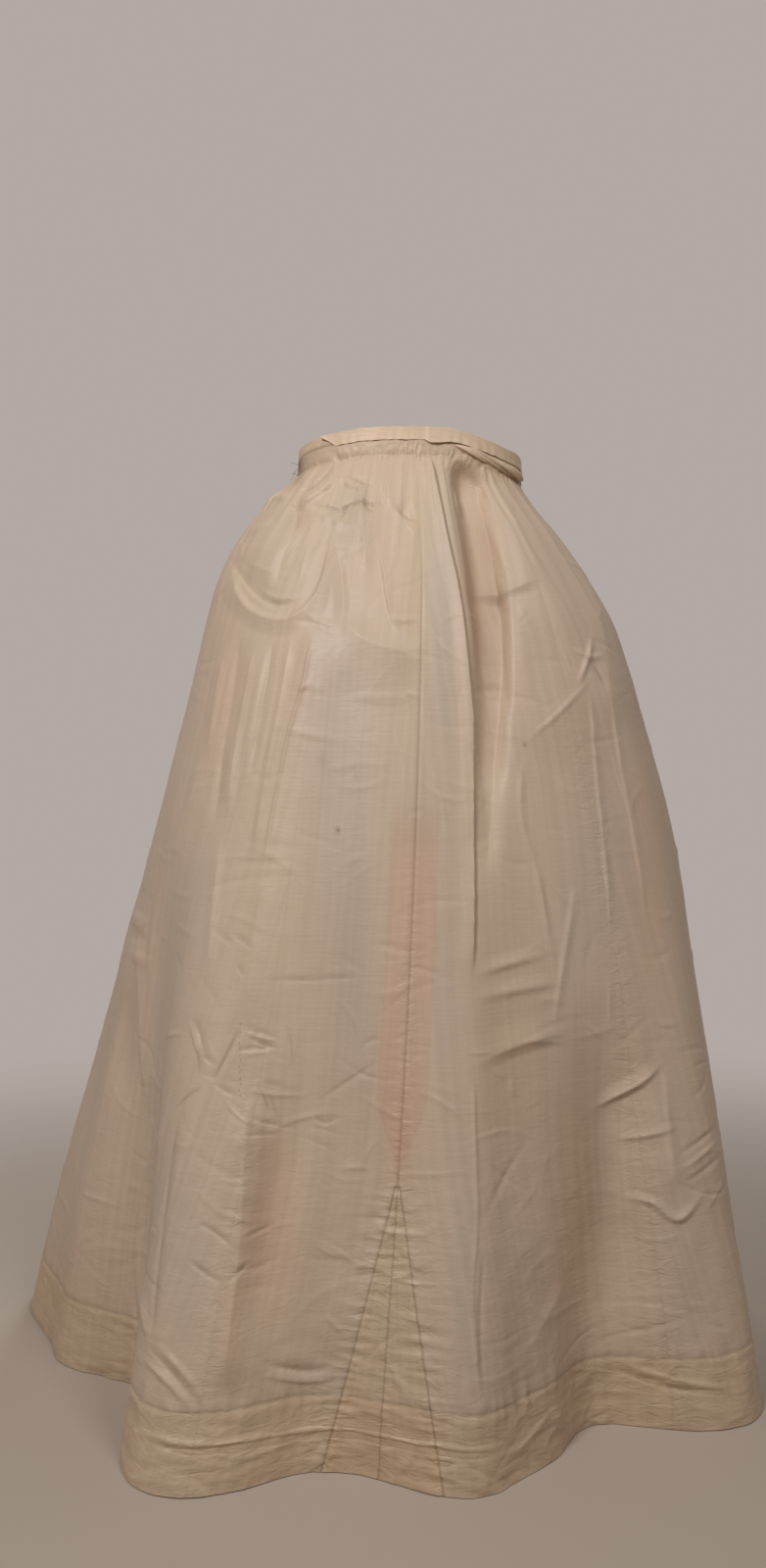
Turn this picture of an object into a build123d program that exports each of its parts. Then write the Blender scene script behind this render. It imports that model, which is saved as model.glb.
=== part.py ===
from build123d import *
import math
import os

# A floor-length gored taffeta skirt, in the shape it takes when worn. Sizes are in millimetres.
# The origin is the middle of the waist seam, +Z is up and the front faces -Y.
# Left and right are the wearer's, so the wearer's left is on +X.
# Angles go round the waist from the front towards the wearer's left, in degrees.

# Reach of the cloth from the middle, at the waist and at the hem
waist_half_width = 120.0
waist_half_depth = 88.0
hem_reach_left = 326.0
hem_reach_right = 372.0
hem_reach_front = 300.0
hem_reach_back = 390.0
skirt_drop = 905.0

# Cloth, seams and the turned-up hem
cloth_thickness = 1.0
seam_gap = 0.3
hem_depth = 85.0

# Gussets at the foot of the front seam
gusset_height = 233.0
right_gusset_width = 49.0
left_gusset_width = 52.0
gusset_tip_width = 1.6

# Folds, as the height of a ridge or the depth of a hollow at the hem
right_rear_ridge = 50.0
right_side_hollow = 62.0
right_front_ridge = 54.0
front_right_hollow = 18.0
front_left_ridge = 18.0
left_front_hollow = 52.0
left_side_ridge = 46.0
left_rear_hollow = 20.0
back_flute_height = 30.0

# Inverted pleat beside the front seam, and the gathers under the waistband
pleat_depth = 17.0
front_gather_depth = 0.6
back_gather_depth = 3.0

# Waistband, its tape, and the hooks and eyes
band_height = 28.0
band_thickness = 2.0
tape_height = 13.0
tape_thickness = 0.8
hook_length = 12.0
hook_width = 2.4
hook_wire = 0.9
hook_throat = 1.4
hook_bill = 5.0
lower_hook_height = 8.0
hook_spacing = 12.0
eye_length = 9.0
eye_width = 6.4
eye_wire = 0.8

# Each row: share of the skirt's drop, then share of the flare reached there
left_flare_shares = ((0, 0), (0.03, 0.08), (0.1, 0.29), (0.19, 0.51), (0.28, 0.62), (0.42, 0.77),
                     (0.56, 0.85), (0.7, 0.91), (0.88, 0.97), (1, 1))
right_flare_shares = ((0, 0), (0.03, 0.13), (0.1, 0.32), (0.19, 0.41), (0.28, 0.48), (0.42, 0.61),
                      (0.56, 0.72), (0.7, 0.82), (0.88, 0.94), (1, 1))
front_flare_shares = ((0, 0), (0.03, 0.05), (0.1, 0.18), (0.2, 0.33), (0.35, 0.47), (0.5, 0.6),
                      (0.7, 0.77), (0.9, 0.94), (1, 1))
back_flare_shares = ((0, 0), (0.03, 0.08), (0.1, 0.26), (0.2, 0.42), (0.35, 0.56), (0.5, 0.67),
                     (0.7, 0.81), (0.9, 0.95), (1, 1))
upper_section_shares = (0, 0.012, 0.035, 0.075, 0.12, 0.17, 0.23, 0.3, 0.38, 0.46, 0.54, 0.62, 0.69)
gusset_section_shares = (0, 0.22, 0.45)
roundness = 2.15

# Seams: angle at the waist and at the hem
front_seam_angles = (5, -6.5)
left_front_seam_angles = (46, 47)
left_back_seam_angles = (100, 108)
back_seam_angles = (185, 180)
right_back_seam_angles = (272, 256)
right_front_seam_angles = (330, 329)
front_seam_again_angles = (365, 353.5)
closing_angle = -88
tape_start_angle = -55
tape_end_angle = -97

# Each fold: height, angle at the hem, angle where it starts, spread before and after its line,
# share of the drop where it starts, and how fast it grows
fold_rows = (
    (right_rear_ridge, -96, -100, 25, 18, 0.25, 1.3),
    (-right_side_hollow, -60, -72, 17, 16, 0.36, 1.2),
    (right_front_ridge, -36, -50, 16, 19, 0.36, 1.2),
    (-front_right_hollow, -13, -16, 18, 15, 0.3, 1.4),
    (front_left_ridge, 9, 15, 13, 9, 0.3, 1.3),
    (-left_front_hollow, 37, 24, 24, 14, 0.38, 1.3),
    (left_side_ridge, 58, 68, 14, 22, 0.25, 1.3),
    (-left_rear_hollow, 84, 88, 17, 14, 0.35, 1.3),
)
fold_drift = 1.6
flute_angle = 27
flute_start_angle = 100
flute_fade_angle = 18
flute_growth = 1.2
pleat_top_share = 0.03
pleat_end_share = 0.47
pleat_top_angle = 33
pleat_end_angle = 16
pleat_top_spread = 11
pleat_end_spread = 3
gather_full_share = 0.035
gather_end_share = 0.2
waist_columns = 72
sector_sides = 4


def between(rows, share):
    # Smooth rise through a table of shares, with no overshoot
    slopes = [(b[1] - a[1]) / (b[0] - a[0]) for a, b in zip(rows, rows[1:])]
    ends = [slopes[0]] + [2 * a * b / (a + b) for a, b in zip(slopes, slopes[1:])] + [slopes[-1]]
    i = 0
    while i < len(slopes) - 1 and share > rows[i + 1][0]:
        i += 1
    step = rows[i + 1][0] - rows[i][0]
    t = (share - rows[i][0]) / step
    rise = rows[i + 1][1] - rows[i][1]
    lead = t * (1 - t) ** 2 * ends[i] - t * t * (1 - t) * ends[i + 1]
    return rows[i][1] + rise * t * t * (3 - 2 * t) + step * lead


def limit(share):
    return max(0, min(1, share))


def swell(position):
    # One on the line of a fold, none at the edge of its spread
    return (1 + math.cos(math.pi * max(-1, min(1, position)))) / 2


def fold_height(angle, share):
    total = 0
    for height, hem_angle, start_angle, before, after, start, growth in fold_rows:
        grown = limit((share - start) / (1 - start))
        line = start_angle + (hem_angle - start_angle) * (1 - (1 - grown) ** fold_drift)
        spread = before if angle < line else after
        total += height * grown ** growth * swell((angle - line) / spread)
    from_back = 180 - abs(angle)
    fade = limit((abs(angle) - flute_start_angle) / flute_fade_angle)
    wave = math.cos(math.radians(from_back * 360 / flute_angle))
    return total + back_flute_height * fade * share ** flute_growth * wave


def pleat_height(angle, share):
    above = limit((pleat_end_share - share) / (pleat_end_share - pleat_top_share))
    line = pleat_end_angle + (pleat_top_angle - pleat_end_angle) * above
    spread = pleat_end_spread + (pleat_top_spread - pleat_end_spread) * above
    opened = limit(share / pleat_top_share)
    return -pleat_depth * opened * limit(1.5 * above) * swell((angle - line) / spread)


def gather_height(angle, share):
    rise = limit(share / gather_full_share)
    fall = limit((gather_end_share - share) / (gather_end_share - gather_full_share))
    to_back = (1 - math.cos(math.radians(angle))) / 2
    depth = front_gather_depth + (back_gather_depth - front_gather_depth) * to_back
    return depth * rise * fall / 2


def reach(angle, share):
    # Distance of the outside of the cloth from the middle line, gathers apart
    angle = (angle + 180) % 360 - 180
    across = math.sin(math.radians(angle))
    along = math.cos(math.radians(angle))
    side_hem = hem_reach_left if across > 0 else hem_reach_right
    side_rows = left_flare_shares if across > 0 else right_flare_shares
    end_hem = hem_reach_front if along > 0 else hem_reach_back
    end_rows = front_flare_shares if along > 0 else back_flare_shares
    width = waist_half_width + (side_hem - waist_half_width) * between(side_rows, share)
    depth = waist_half_depth + (end_hem - waist_half_depth) * between(end_rows, share)
    round_part = (abs(across) / width) ** roundness + (abs(along) / depth) ** roundness
    return round_part ** (-1 / roundness) + fold_height(angle, share) + pleat_height(angle, share)


def flat_point(angle, share):
    turn = math.radians(angle)
    return Vector(math.sin(turn), -math.cos(turn)) * reach(angle, share)


def cloth_point(angle, share, inset):
    # A point of the cloth, moved square to it and inwards by the inset
    way = (flat_point(angle + 0.2, share) - flat_point(angle - 0.2, share)).normalized()
    return flat_point(angle, share) + Vector(-way.Y, way.X, 0) * inset + Vector(0, 0, -skirt_drop * share)


def seam_angle(seam, share):
    return seam[0] + (seam[1] - seam[0]) * share


def gusset_width(width, share):
    # Width of a gusset at a height, from its tip to the hem
    tip = 1 - gusset_height / skirt_drop
    if share < tip or width == 0:
        return 0
    return gusset_tip_width + (width - gusset_tip_width) * (share - tip) / (1 - tip)


def turned(angle, width, share):
    # The angle reached by going a width along the cloth
    return angle + math.degrees(width / reach(angle, share))


def cloth_loop(first, last, share, columns, layers):
    # Points round one level of a panel: along its outside, then back along its inside
    first = turned(first, seam_gap / 2, share)
    last = turned(last, -seam_gap / 2, share)
    outside = []
    inside = []
    for i in range(columns + 1):
        angle = first + (last - first) * i / columns
        lift = gather_height(angle, share) * (1 if i % 2 else -1)
        outside.append(cloth_point(angle, share, -lift))
        inside.append(cloth_point(angle, share, layers * cloth_thickness - lift))
    return outside + inside[::-1]


def faceted(loops):
    # A solid through loops with equal numbers of points, closed by flat ends
    def flat(points):
        return Face(Wire.make_polygon(points, close=True))

    faces = [flat(loops[0]), flat(loops[-1])]
    count = len(loops[0])
    for upper, lower in zip(loops, loops[1:]):
        for i in range(count):
            a, b = upper[i], upper[(i + 1) % count]
            c, d = lower[(i + 1) % count], lower[i]
            if (c - a).length < (d - b).length:
                faces += [flat([a, b, c]), flat([a, c, d])]
            else:
                faces += [flat([a, b, d]), flat([b, c, d])]
    return Solid(Shell(faces))


def levels(top_share):
    # Section heights of a panel, with the number of layers of cloth at each
    tip = 1 - gusset_height / skirt_drop
    hem_top = 1 - hem_depth / skirt_drop
    hem_ledge = hem_top + cloth_thickness / skirt_drop
    spread = [tip + (1 - tip) * share for share in gusset_section_shares]
    single = list(upper_section_shares) + [tip - gusset_tip_width / skirt_drop] + spread + [hem_top]
    doubled = [hem_ledge, (hem_ledge + 1) / 2, 1]
    rows = [(share, 1) for share in single] + [(share, 2) for share in doubled]
    return [row for row in rows if row[0] >= top_share]


def gore(first_seam, last_seam, columns, first_gusset, last_gusset):
    loops = []
    for share, layers in levels(0):
        first = turned(seam_angle(first_seam, share), gusset_width(first_gusset, share), share)
        last = turned(seam_angle(last_seam, share), -gusset_width(last_gusset, share), share)
        loops.append(cloth_loop(first, last, share, columns, layers))
    return faceted(loops)


def gusset(width, columns):
    # Triangle beside the front seam, to the left where the width is above zero
    tip = 1 - gusset_height / skirt_drop
    loops = []
    for share, layers in levels(tip):
        seam = seam_angle(front_seam_angles, share)
        side = turned(seam, math.copysign(gusset_width(abs(width), share), width), share)
        loops.append(cloth_loop(min(seam, side), max(seam, side), share, columns, layers))
    return faceted(loops)


def waist_loop(inset):
    points = [cloth_point(360 * i / waist_columns, 0, inset) for i in range(waist_columns)]
    return Face(Wire.make_polygon(points, close=True))


def waist_ring(outer, inner, low, high):
    return Pos(0, 0, low) * extrude(waist_loop(outer) - waist_loop(inner), high - low)


def waist_sector(start, end):
    # Block over the waist that spans the angles from start to end
    far = 2 * waist_half_width
    turns = [math.radians(start + (end - start) * i / sector_sides) for i in range(sector_sides + 1)]
    rim = [Vector(far * math.sin(turn), -far * math.cos(turn)) for turn in turns]
    face = Face(Wire.make_polygon([Vector(0, 0)] + rim, close=True))
    return Pos(0, 0, -band_height) * extrude(face, 3 * band_height)


def closing_plane(height):
    # On the inside of the band where it closes: x to the front end, z inwards
    middle = cloth_point(closing_angle, 0, cloth_thickness + band_lap)
    before = cloth_point(closing_angle - 1, 0, cloth_thickness + band_lap)
    after = cloth_point(closing_angle + 1, 0, cloth_thickness + band_lap)
    way = (after - before).normalized()
    inward = Vector(-way.Y, way.X)
    return Plane(middle + Vector(0, 0, height), x_dir=way, z_dir=inward)


def hook():
    # Flat wire bent over at the rear, drawn in profile
    bend_radius = hook_throat / 2 + hook_wire
    bend = Circle(bend_radius) - Circle(hook_throat / 2)
    bend -= Pos(bend_radius, 0) * Rectangle(2 * bend_radius, 3 * bend_radius)
    middle = (hook_throat + hook_wire) / 2
    shank = Pos(hook_length / 2, -middle) * Rectangle(hook_length, hook_wire)
    bill = Pos(hook_bill / 2, middle) * Rectangle(hook_bill, hook_wire)
    shape = extrude(bend + shank + bill, hook_width / 2, both=True)
    return Pos(-hook_throat, 0, bend_radius) * Rot(90, 0, 0) * shape


def eye():
    # Flat loop with a foot at the rear, its front bar inside the hook's bend
    frame = RectangleRounded(eye_length, eye_width, eye_wire)
    frame -= Rectangle(eye_length - 2 * eye_wire, eye_width - 2 * eye_wire)
    height = hook_wire + hook_throat / 2 - eye_wire / 2
    loop = Pos(0, 0, height) * extrude(frame, eye_wire)
    foot = Pos((eye_wire - eye_length) / 2, 0) * Rectangle(eye_wire, eye_width - 2 * eye_wire)
    front = -hook_throat - hook_throat / 2 + (hook_throat - eye_wire) / 2
    return Pos(front + eye_wire - eye_length / 2, 0, 0) * (loop + extrude(foot, height + eye_wire))


band_lap = (band_thickness - cloth_thickness) / 2
slit = math.degrees(seam_gap / (2 * waist_half_width))
band_ring = waist_ring(-band_lap, cloth_thickness + band_lap, 0, band_height)
band = band_ring - waist_sector(closing_angle - slit, closing_angle + slit)
tape_lap = band_lap + tape_thickness
tape_low = band_height - tape_height
tape = waist_ring(-tape_lap, cloth_thickness + tape_lap, tape_low, band_height + tape_thickness)
tape = tape - band_ring - waist_sector(tape_end_angle, tape_start_angle)
heights = [lower_hook_height, lower_hook_height + hook_spacing]
hooks = [closing_plane(height) * hook() - band for height in heights]
eyes = [closing_plane(height) * eye() - band for height in heights]

pieces = {
    "right_front_gore": gore(right_front_seam_angles, front_seam_again_angles, 10, 0, right_gusset_width),
    "left_front_gore": gore(front_seam_angles, left_front_seam_angles, 14, left_gusset_width, 0),
    "left_side_gore": gore(left_front_seam_angles, left_back_seam_angles, 14, 0, 0),
    "left_back_gore": gore(left_back_seam_angles, back_seam_angles, 18, 0, 0),
    "right_back_gore": gore(back_seam_angles, right_back_seam_angles, 18, 0, 0),
    "right_side_gore": gore(right_back_seam_angles, right_front_seam_angles, 18, 0, 0),
    "right_gusset": gusset(-right_gusset_width, 4),
    "left_gusset": gusset(left_gusset_width, 4),
    "waistband": band,
    "waist_tape": tape,
    "waist_hooks": Compound(children=hooks),
    "waist_eyes": Compound(children=eyes),
}
os.makedirs("parts", exist_ok=True)
for name, piece in pieces.items():
    export_step(piece, f"parts/{name}.step")
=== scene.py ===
import math

import bpy
import numpy as np
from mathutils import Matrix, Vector
from mathutils.bvhtree import BVHTree


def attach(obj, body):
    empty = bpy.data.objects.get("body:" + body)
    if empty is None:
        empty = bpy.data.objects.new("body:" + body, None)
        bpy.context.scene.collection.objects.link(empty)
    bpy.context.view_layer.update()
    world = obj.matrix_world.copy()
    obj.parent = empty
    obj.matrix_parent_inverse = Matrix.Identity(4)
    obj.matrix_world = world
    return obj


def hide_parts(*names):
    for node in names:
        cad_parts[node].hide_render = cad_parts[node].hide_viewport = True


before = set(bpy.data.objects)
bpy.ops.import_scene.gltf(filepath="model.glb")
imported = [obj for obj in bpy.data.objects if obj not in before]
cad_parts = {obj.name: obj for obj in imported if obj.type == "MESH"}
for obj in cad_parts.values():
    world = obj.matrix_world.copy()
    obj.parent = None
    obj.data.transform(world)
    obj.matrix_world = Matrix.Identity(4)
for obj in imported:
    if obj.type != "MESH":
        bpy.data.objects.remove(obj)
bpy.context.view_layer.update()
print("frame loaded", len(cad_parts), "nodes")

# The camera, as it stood for the photograph. Creases below are placed by pixels of that picture.
picture = {"width": 782, "height": 1600, "lens": 26.0, "sensor": 36.0, "place": (-0.0288, -1.232, -0.3266)}

shell = {
    "drop": 0.905,        # waist seam to hem, metres
    "hemDepth": 0.062,    # turned-up hem, as it looks in the photo
    "castStep": 0.5,      # degrees between readings of the CAD gores
    "soften": 1.05,       # degrees over which their facets are rounded
    "rowStep": 0.0025,    # metres between rows of the smooth table
    "minRow": 0.006,
    "sagFade": 0.08,      # metres below the band over which its sag fades out
    "sagTurns": [-180, -120, -75, -60, -30, 0, 25, 45, 60, 90, 130, 180],  # degrees round the waist
    "sagMm": [0, -1, -3, -4, -6, -6, -5, 2, 6, 9, 4, 0],                   # and how far the band hangs there
    "overlap": 0.0165,    # metres that the cloth runs up the band, under the tape
    "bandLevel": 0.009,   # height at which the band's curve is read
}

goreNames = ["right_front_gore", "left_front_gore", "left_side_gore",
             "left_back_gore", "right_back_gore", "right_side_gore"]
gussetNames = ["right_gusset", "left_gusset"]


def toPixels(points):
    focal = picture["lens"] / picture["sensor"] * picture["height"]
    away = np.maximum(points[:, 1] - picture["place"][1], 0.05)
    across = picture["width"] / 2 + focal * (points[:, 0] - picture["place"][0]) / away
    down = picture["height"] / 2 - focal * (points[:, 2] - picture["place"][2]) / away
    return across, down


def smoothStep(low, high, value):
    share = np.clip((value - low) / (high - low), 0, 1)
    return share * share * (3 - 2 * share)


def wrapTurn(angle):
    # Degrees round the waist, brought between -180 and 180
    return (angle + 180) % 360 - 180


def selectOnly(piece):
    bpy.ops.object.select_all(action="DESELECT")
    piece.select_set(True)
    bpy.context.view_layer.objects.active = piece


def nodeMesh(name):
    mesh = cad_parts[name].data
    corners = np.empty(len(mesh.vertices) * 3)
    mesh.vertices.foreach_get("co", corners)
    return corners.reshape(-1, 3), [tuple(p.vertices) for p in mesh.polygons]


def castTree(names):
    corners, faces = [], []
    for name in names:
        points, polygons = nodeMesh(name)
        start = len(corners)
        corners += [Vector(p) for p in points]
        faces += [tuple(start + i for i in polygon) for polygon in polygons]
    return BVHTree.FromPolygons(corners, faces)


def castReach(tree, angles, height):
    # Distance from the middle to the outside of the cloth, seen from outside
    far = 0.7
    found = []
    for angle in angles:
        turn = math.radians(angle)
        start = Vector((far * math.sin(turn), -far * math.cos(turn), height))
        hit, _, _, away = tree.ray_cast(start, Vector((-math.sin(turn), math.cos(turn), 0)), far)
        found.append(far - away if hit is not None and far - away > 0.05 else np.nan)
    found = np.array(found)
    good = ~np.isnan(found)
    return np.interp(angles, angles[good], found[good], period=360)


def rounded(table, width):
    # Smooths each row round the skirt and reads it twice as finely
    waves = np.fft.rfft(table, axis=1)
    order = np.arange(waves.shape[1])
    waves *= np.exp(-0.5 * (order * math.radians(width)) ** 2)
    return np.fft.irfft(waves, n=2 * table.shape[1], axis=1) * 2


def alongRows(rows, table, fine):
    # Cubic through the rows of the CAD sections
    slope = np.gradient(table, rows, axis=0)
    index = np.clip(np.searchsorted(rows, fine, side="right") - 1, 0, len(rows) - 2)
    span = (rows[index + 1] - rows[index])[:, None]
    t = ((fine - rows[index]) / (rows[index + 1] - rows[index]))[:, None]
    return ((2 * t ** 3 - 3 * t ** 2 + 1) * table[index] + (t ** 3 - 2 * t ** 2 + t) * span * slope[index]
            + (3 * t ** 2 - 2 * t ** 3) * table[index + 1] + (t ** 3 - t ** 2) * span * slope[index + 1])


# The smooth form of the skirt, read from the CAD gores
skirtTree = castTree(goreNames + gussetNames)
sections = np.unique(np.round(np.concatenate([-nodeMesh(name)[0][:, 2] for name in goreNames]), 5))
rows = [sections[0]]
for section in sections[1:]:
    if section - rows[-1] > shell["minRow"]:
        rows.append(section)
rows[-1] = sections[-1]
rows = np.array(rows)
castAngles = np.arange(-180, 180, shell["castStep"])
readings = [castReach(skirtTree, castAngles, -min(max(row, 0.0001), shell["drop"] - 0.0001)) for row in rows]
fineRows = np.arange(0, shell["drop"] + shell["rowStep"] / 2, shell["rowStep"])
reachTable = alongRows(rows, rounded(np.array(readings), shell["soften"]), fineRows)
tableStep = shell["castStep"] / 2
print("form read from", len(rows), "sections")


def reachAt(angle, drop):
    row = np.clip(drop / shell["rowStep"], 0, len(fineRows) - 1.001)
    column = ((angle + 180) % 360) / tableStep
    i, j = row.astype(int), column.astype(int)
    s, t = row - i, column - j
    count = reachTable.shape[1]
    j, k = j % count, (j + 1) % count
    return ((1 - s) * ((1 - t) * reachTable[i, j] + t * reachTable[i, k])
            + s * ((1 - t) * reachTable[i + 1, j] + t * reachTable[i + 1, k]))


bandReach = rounded(castReach(castTree(["waistband"]), castAngles, shell["bandLevel"])[None, :], 1.5)[0]


def bandRadius(angle):
    column = ((angle + 180) % 360) / tableStep
    j = column.astype(int)
    t = column - j
    return (1 - t) * bandReach[j % len(bandReach)] + t * bandReach[(j + 1) % len(bandReach)]


def waistSag(angle):
    return np.interp(wrapTurn(angle), shell["sagTurns"], shell["sagMm"]) / 1000


def formAt(angle, drop):
    below = smoothStep(-0.006, 0.004, drop)
    reach = reachAt(angle, drop) * below + (bandRadius(angle) + 0.0006) * (1 - below)
    turn = np.radians(angle)
    low = waistSag(angle) * (1 - smoothStep(0, shell["sagFade"], drop))
    return np.stack([reach * np.sin(turn), -reach * np.cos(turn), -drop - low], axis=1)


# Where each panel starts and ends, row by row
def panelEdges(name):
    points, _ = nodeMesh(name)
    turns = np.degrees(np.arctan2(points[:, 0], -points[:, 1]))
    middle = math.degrees(math.atan2(points[:, 0].mean(), -points[:, 1].mean()))
    turns = middle + (turns - middle + 180) % 360 - 180
    drops = -points[:, 2]
    levels = [level for level in sections if level >= drops.min() - 1e-5]
    low = [turns[np.abs(drops - level) < 2e-5].min() for level in levels]
    high = [turns[np.abs(drops - level) < 2e-5].max() for level in levels]
    return np.interp(fineRows, levels, low), np.interp(fineRows, levels, high), drops.min()


edges = {name: panelEdges(name) for name in goreNames + gussetNames}
tipDrop = edges["right_gusset"][2]
seams = {}


def joinSeam(name, first, second):
    # One line for both panels, so that no slit shows between them
    turnBy = 360 * np.round((edges[first][1] - edges[second][0]) / 360)
    line = (edges[first][1] + edges[second][0] + turnBy) / 2
    edges[first] = (edges[first][0], line, edges[first][2])
    edges[second] = (line - turnBy, edges[second][1], edges[second][2])
    seams[name] = line


belowTip = fineRows >= tipDrop
rightEdge = edges["right_front_gore"][1].copy()
leftEdge = edges["left_front_gore"][0].copy()
frontLine = np.where(belowTip, (edges["right_gusset"][1] + edges["left_gusset"][0]) / 2, (rightEdge + leftEdge) / 2)
rightLine = np.where(belowTip, (rightEdge + edges["right_gusset"][0]) / 2, frontLine)
leftLine = np.where(belowTip, (leftEdge + edges["left_gusset"][1]) / 2, frontLine)
edges["right_front_gore"] = (edges["right_front_gore"][0], rightLine, 0)
edges["left_front_gore"] = (leftLine, edges["left_front_gore"][1], 0)
edges["right_gusset"] = (rightLine, frontLine, tipDrop)
edges["left_gusset"] = (frontLine, leftLine, tipDrop)
seams.update({"front": frontLine, "gussetRight": rightLine, "gussetLeft": leftLine})
for seam, first, second in (("leftFront", "left_front_gore", "left_side_gore"),
                            ("leftBack", "left_side_gore", "left_back_gore"),
                            ("back", "left_back_gore", "right_back_gore"),
                            ("rightBack", "right_back_gore", "right_side_gore"),
                            ("rightFront", "right_side_gore", "right_front_gore")):
    joinSeam(seam, first, second)

# Sewn seams: groove and puckers in mm, their spacing and reach in mm, the drop where they begin,
# and how dark the sewn line is
seamLook = {
    "front": {"groove": 0.35, "width": 1.6, "pucker": 0.5, "pitch": 8, "reach": 10, "from": 0.36, "dark": 0.27},
    "gussetRight": {"groove": 0.5, "width": 1.6, "pucker": 1.2, "pitch": 8, "reach": 17, "from": 0.6, "dark": 0.34},
    "gussetLeft": {"groove": 0.5, "width": 1.6, "pucker": 1.2, "pitch": 8, "reach": 17, "from": 0.6, "dark": 0.34},
    "leftFront": {"groove": 0.1, "width": 2.4, "pucker": 0.2, "pitch": 12, "reach": 12, "from": 0.2, "dark": 0.05},
    "leftBack": {"groove": 0.4, "width": 2.4, "pucker": 0.7, "pitch": 11, "reach": 16, "from": 0.12, "dark": 0.22},
    "back": {"groove": 0.4, "width": 2.4, "pucker": 0.7, "pitch": 11, "reach": 16, "from": 0.12, "dark": 0.22},
    "rightBack": {"groove": 0.4, "width": 2.4, "pucker": 0.4, "pitch": 11, "reach": 16, "from": 0.12, "dark": 0.28},
    "rightFront": {"groove": 0.1, "width": 2.0, "pucker": 0.3, "pitch": 10, "reach": 11, "from": 0.55, "dark": 0.05},
}


def gradientNoise(points, seed):
    dice = np.random.default_rng(seed)
    order = np.tile(dice.permutation(256), 2)
    ways = dice.normal(size=(256, 3))
    ways /= np.linalg.norm(ways, axis=1)[:, None]
    cell = np.floor(points).astype(int)
    inside = points - cell
    fade = inside ** 3 * (inside * (inside * 6 - 15) + 10)
    cell &= 255
    total = np.zeros(len(points))
    for dx in (0, 1):
        for dy in (0, 1):
            for dz in (0, 1):
                key = order[(cell[:, 0] + dx) & 255]
                key = order[key + ((cell[:, 1] + dy) & 255)]
                key = order[key + ((cell[:, 2] + dz) & 255)]
                offset = inside - np.array([dx, dy, dz])
                weight = (np.where(dx, fade[:, 0], 1 - fade[:, 0]) * np.where(dy, fade[:, 1], 1 - fade[:, 1])
                          * np.where(dz, fade[:, 2], 1 - fade[:, 2]))
                total += weight * np.einsum("ij,ij->i", ways[key], offset)
    return total * 1.6


def crumpled(points, size, seed):
    # Sharp crossing creases, as paper and crisp silk take them; size in metres
    folds = 1 - np.abs(gradientNoise(points / size, seed)) * 2.4
    small = 1 - np.abs(gradientNoise(points / (size * 0.47), seed + 1)) * 2.4
    return np.clip(folds, -1, 1) + 0.45 * np.clip(small, -1, 1)


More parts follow.
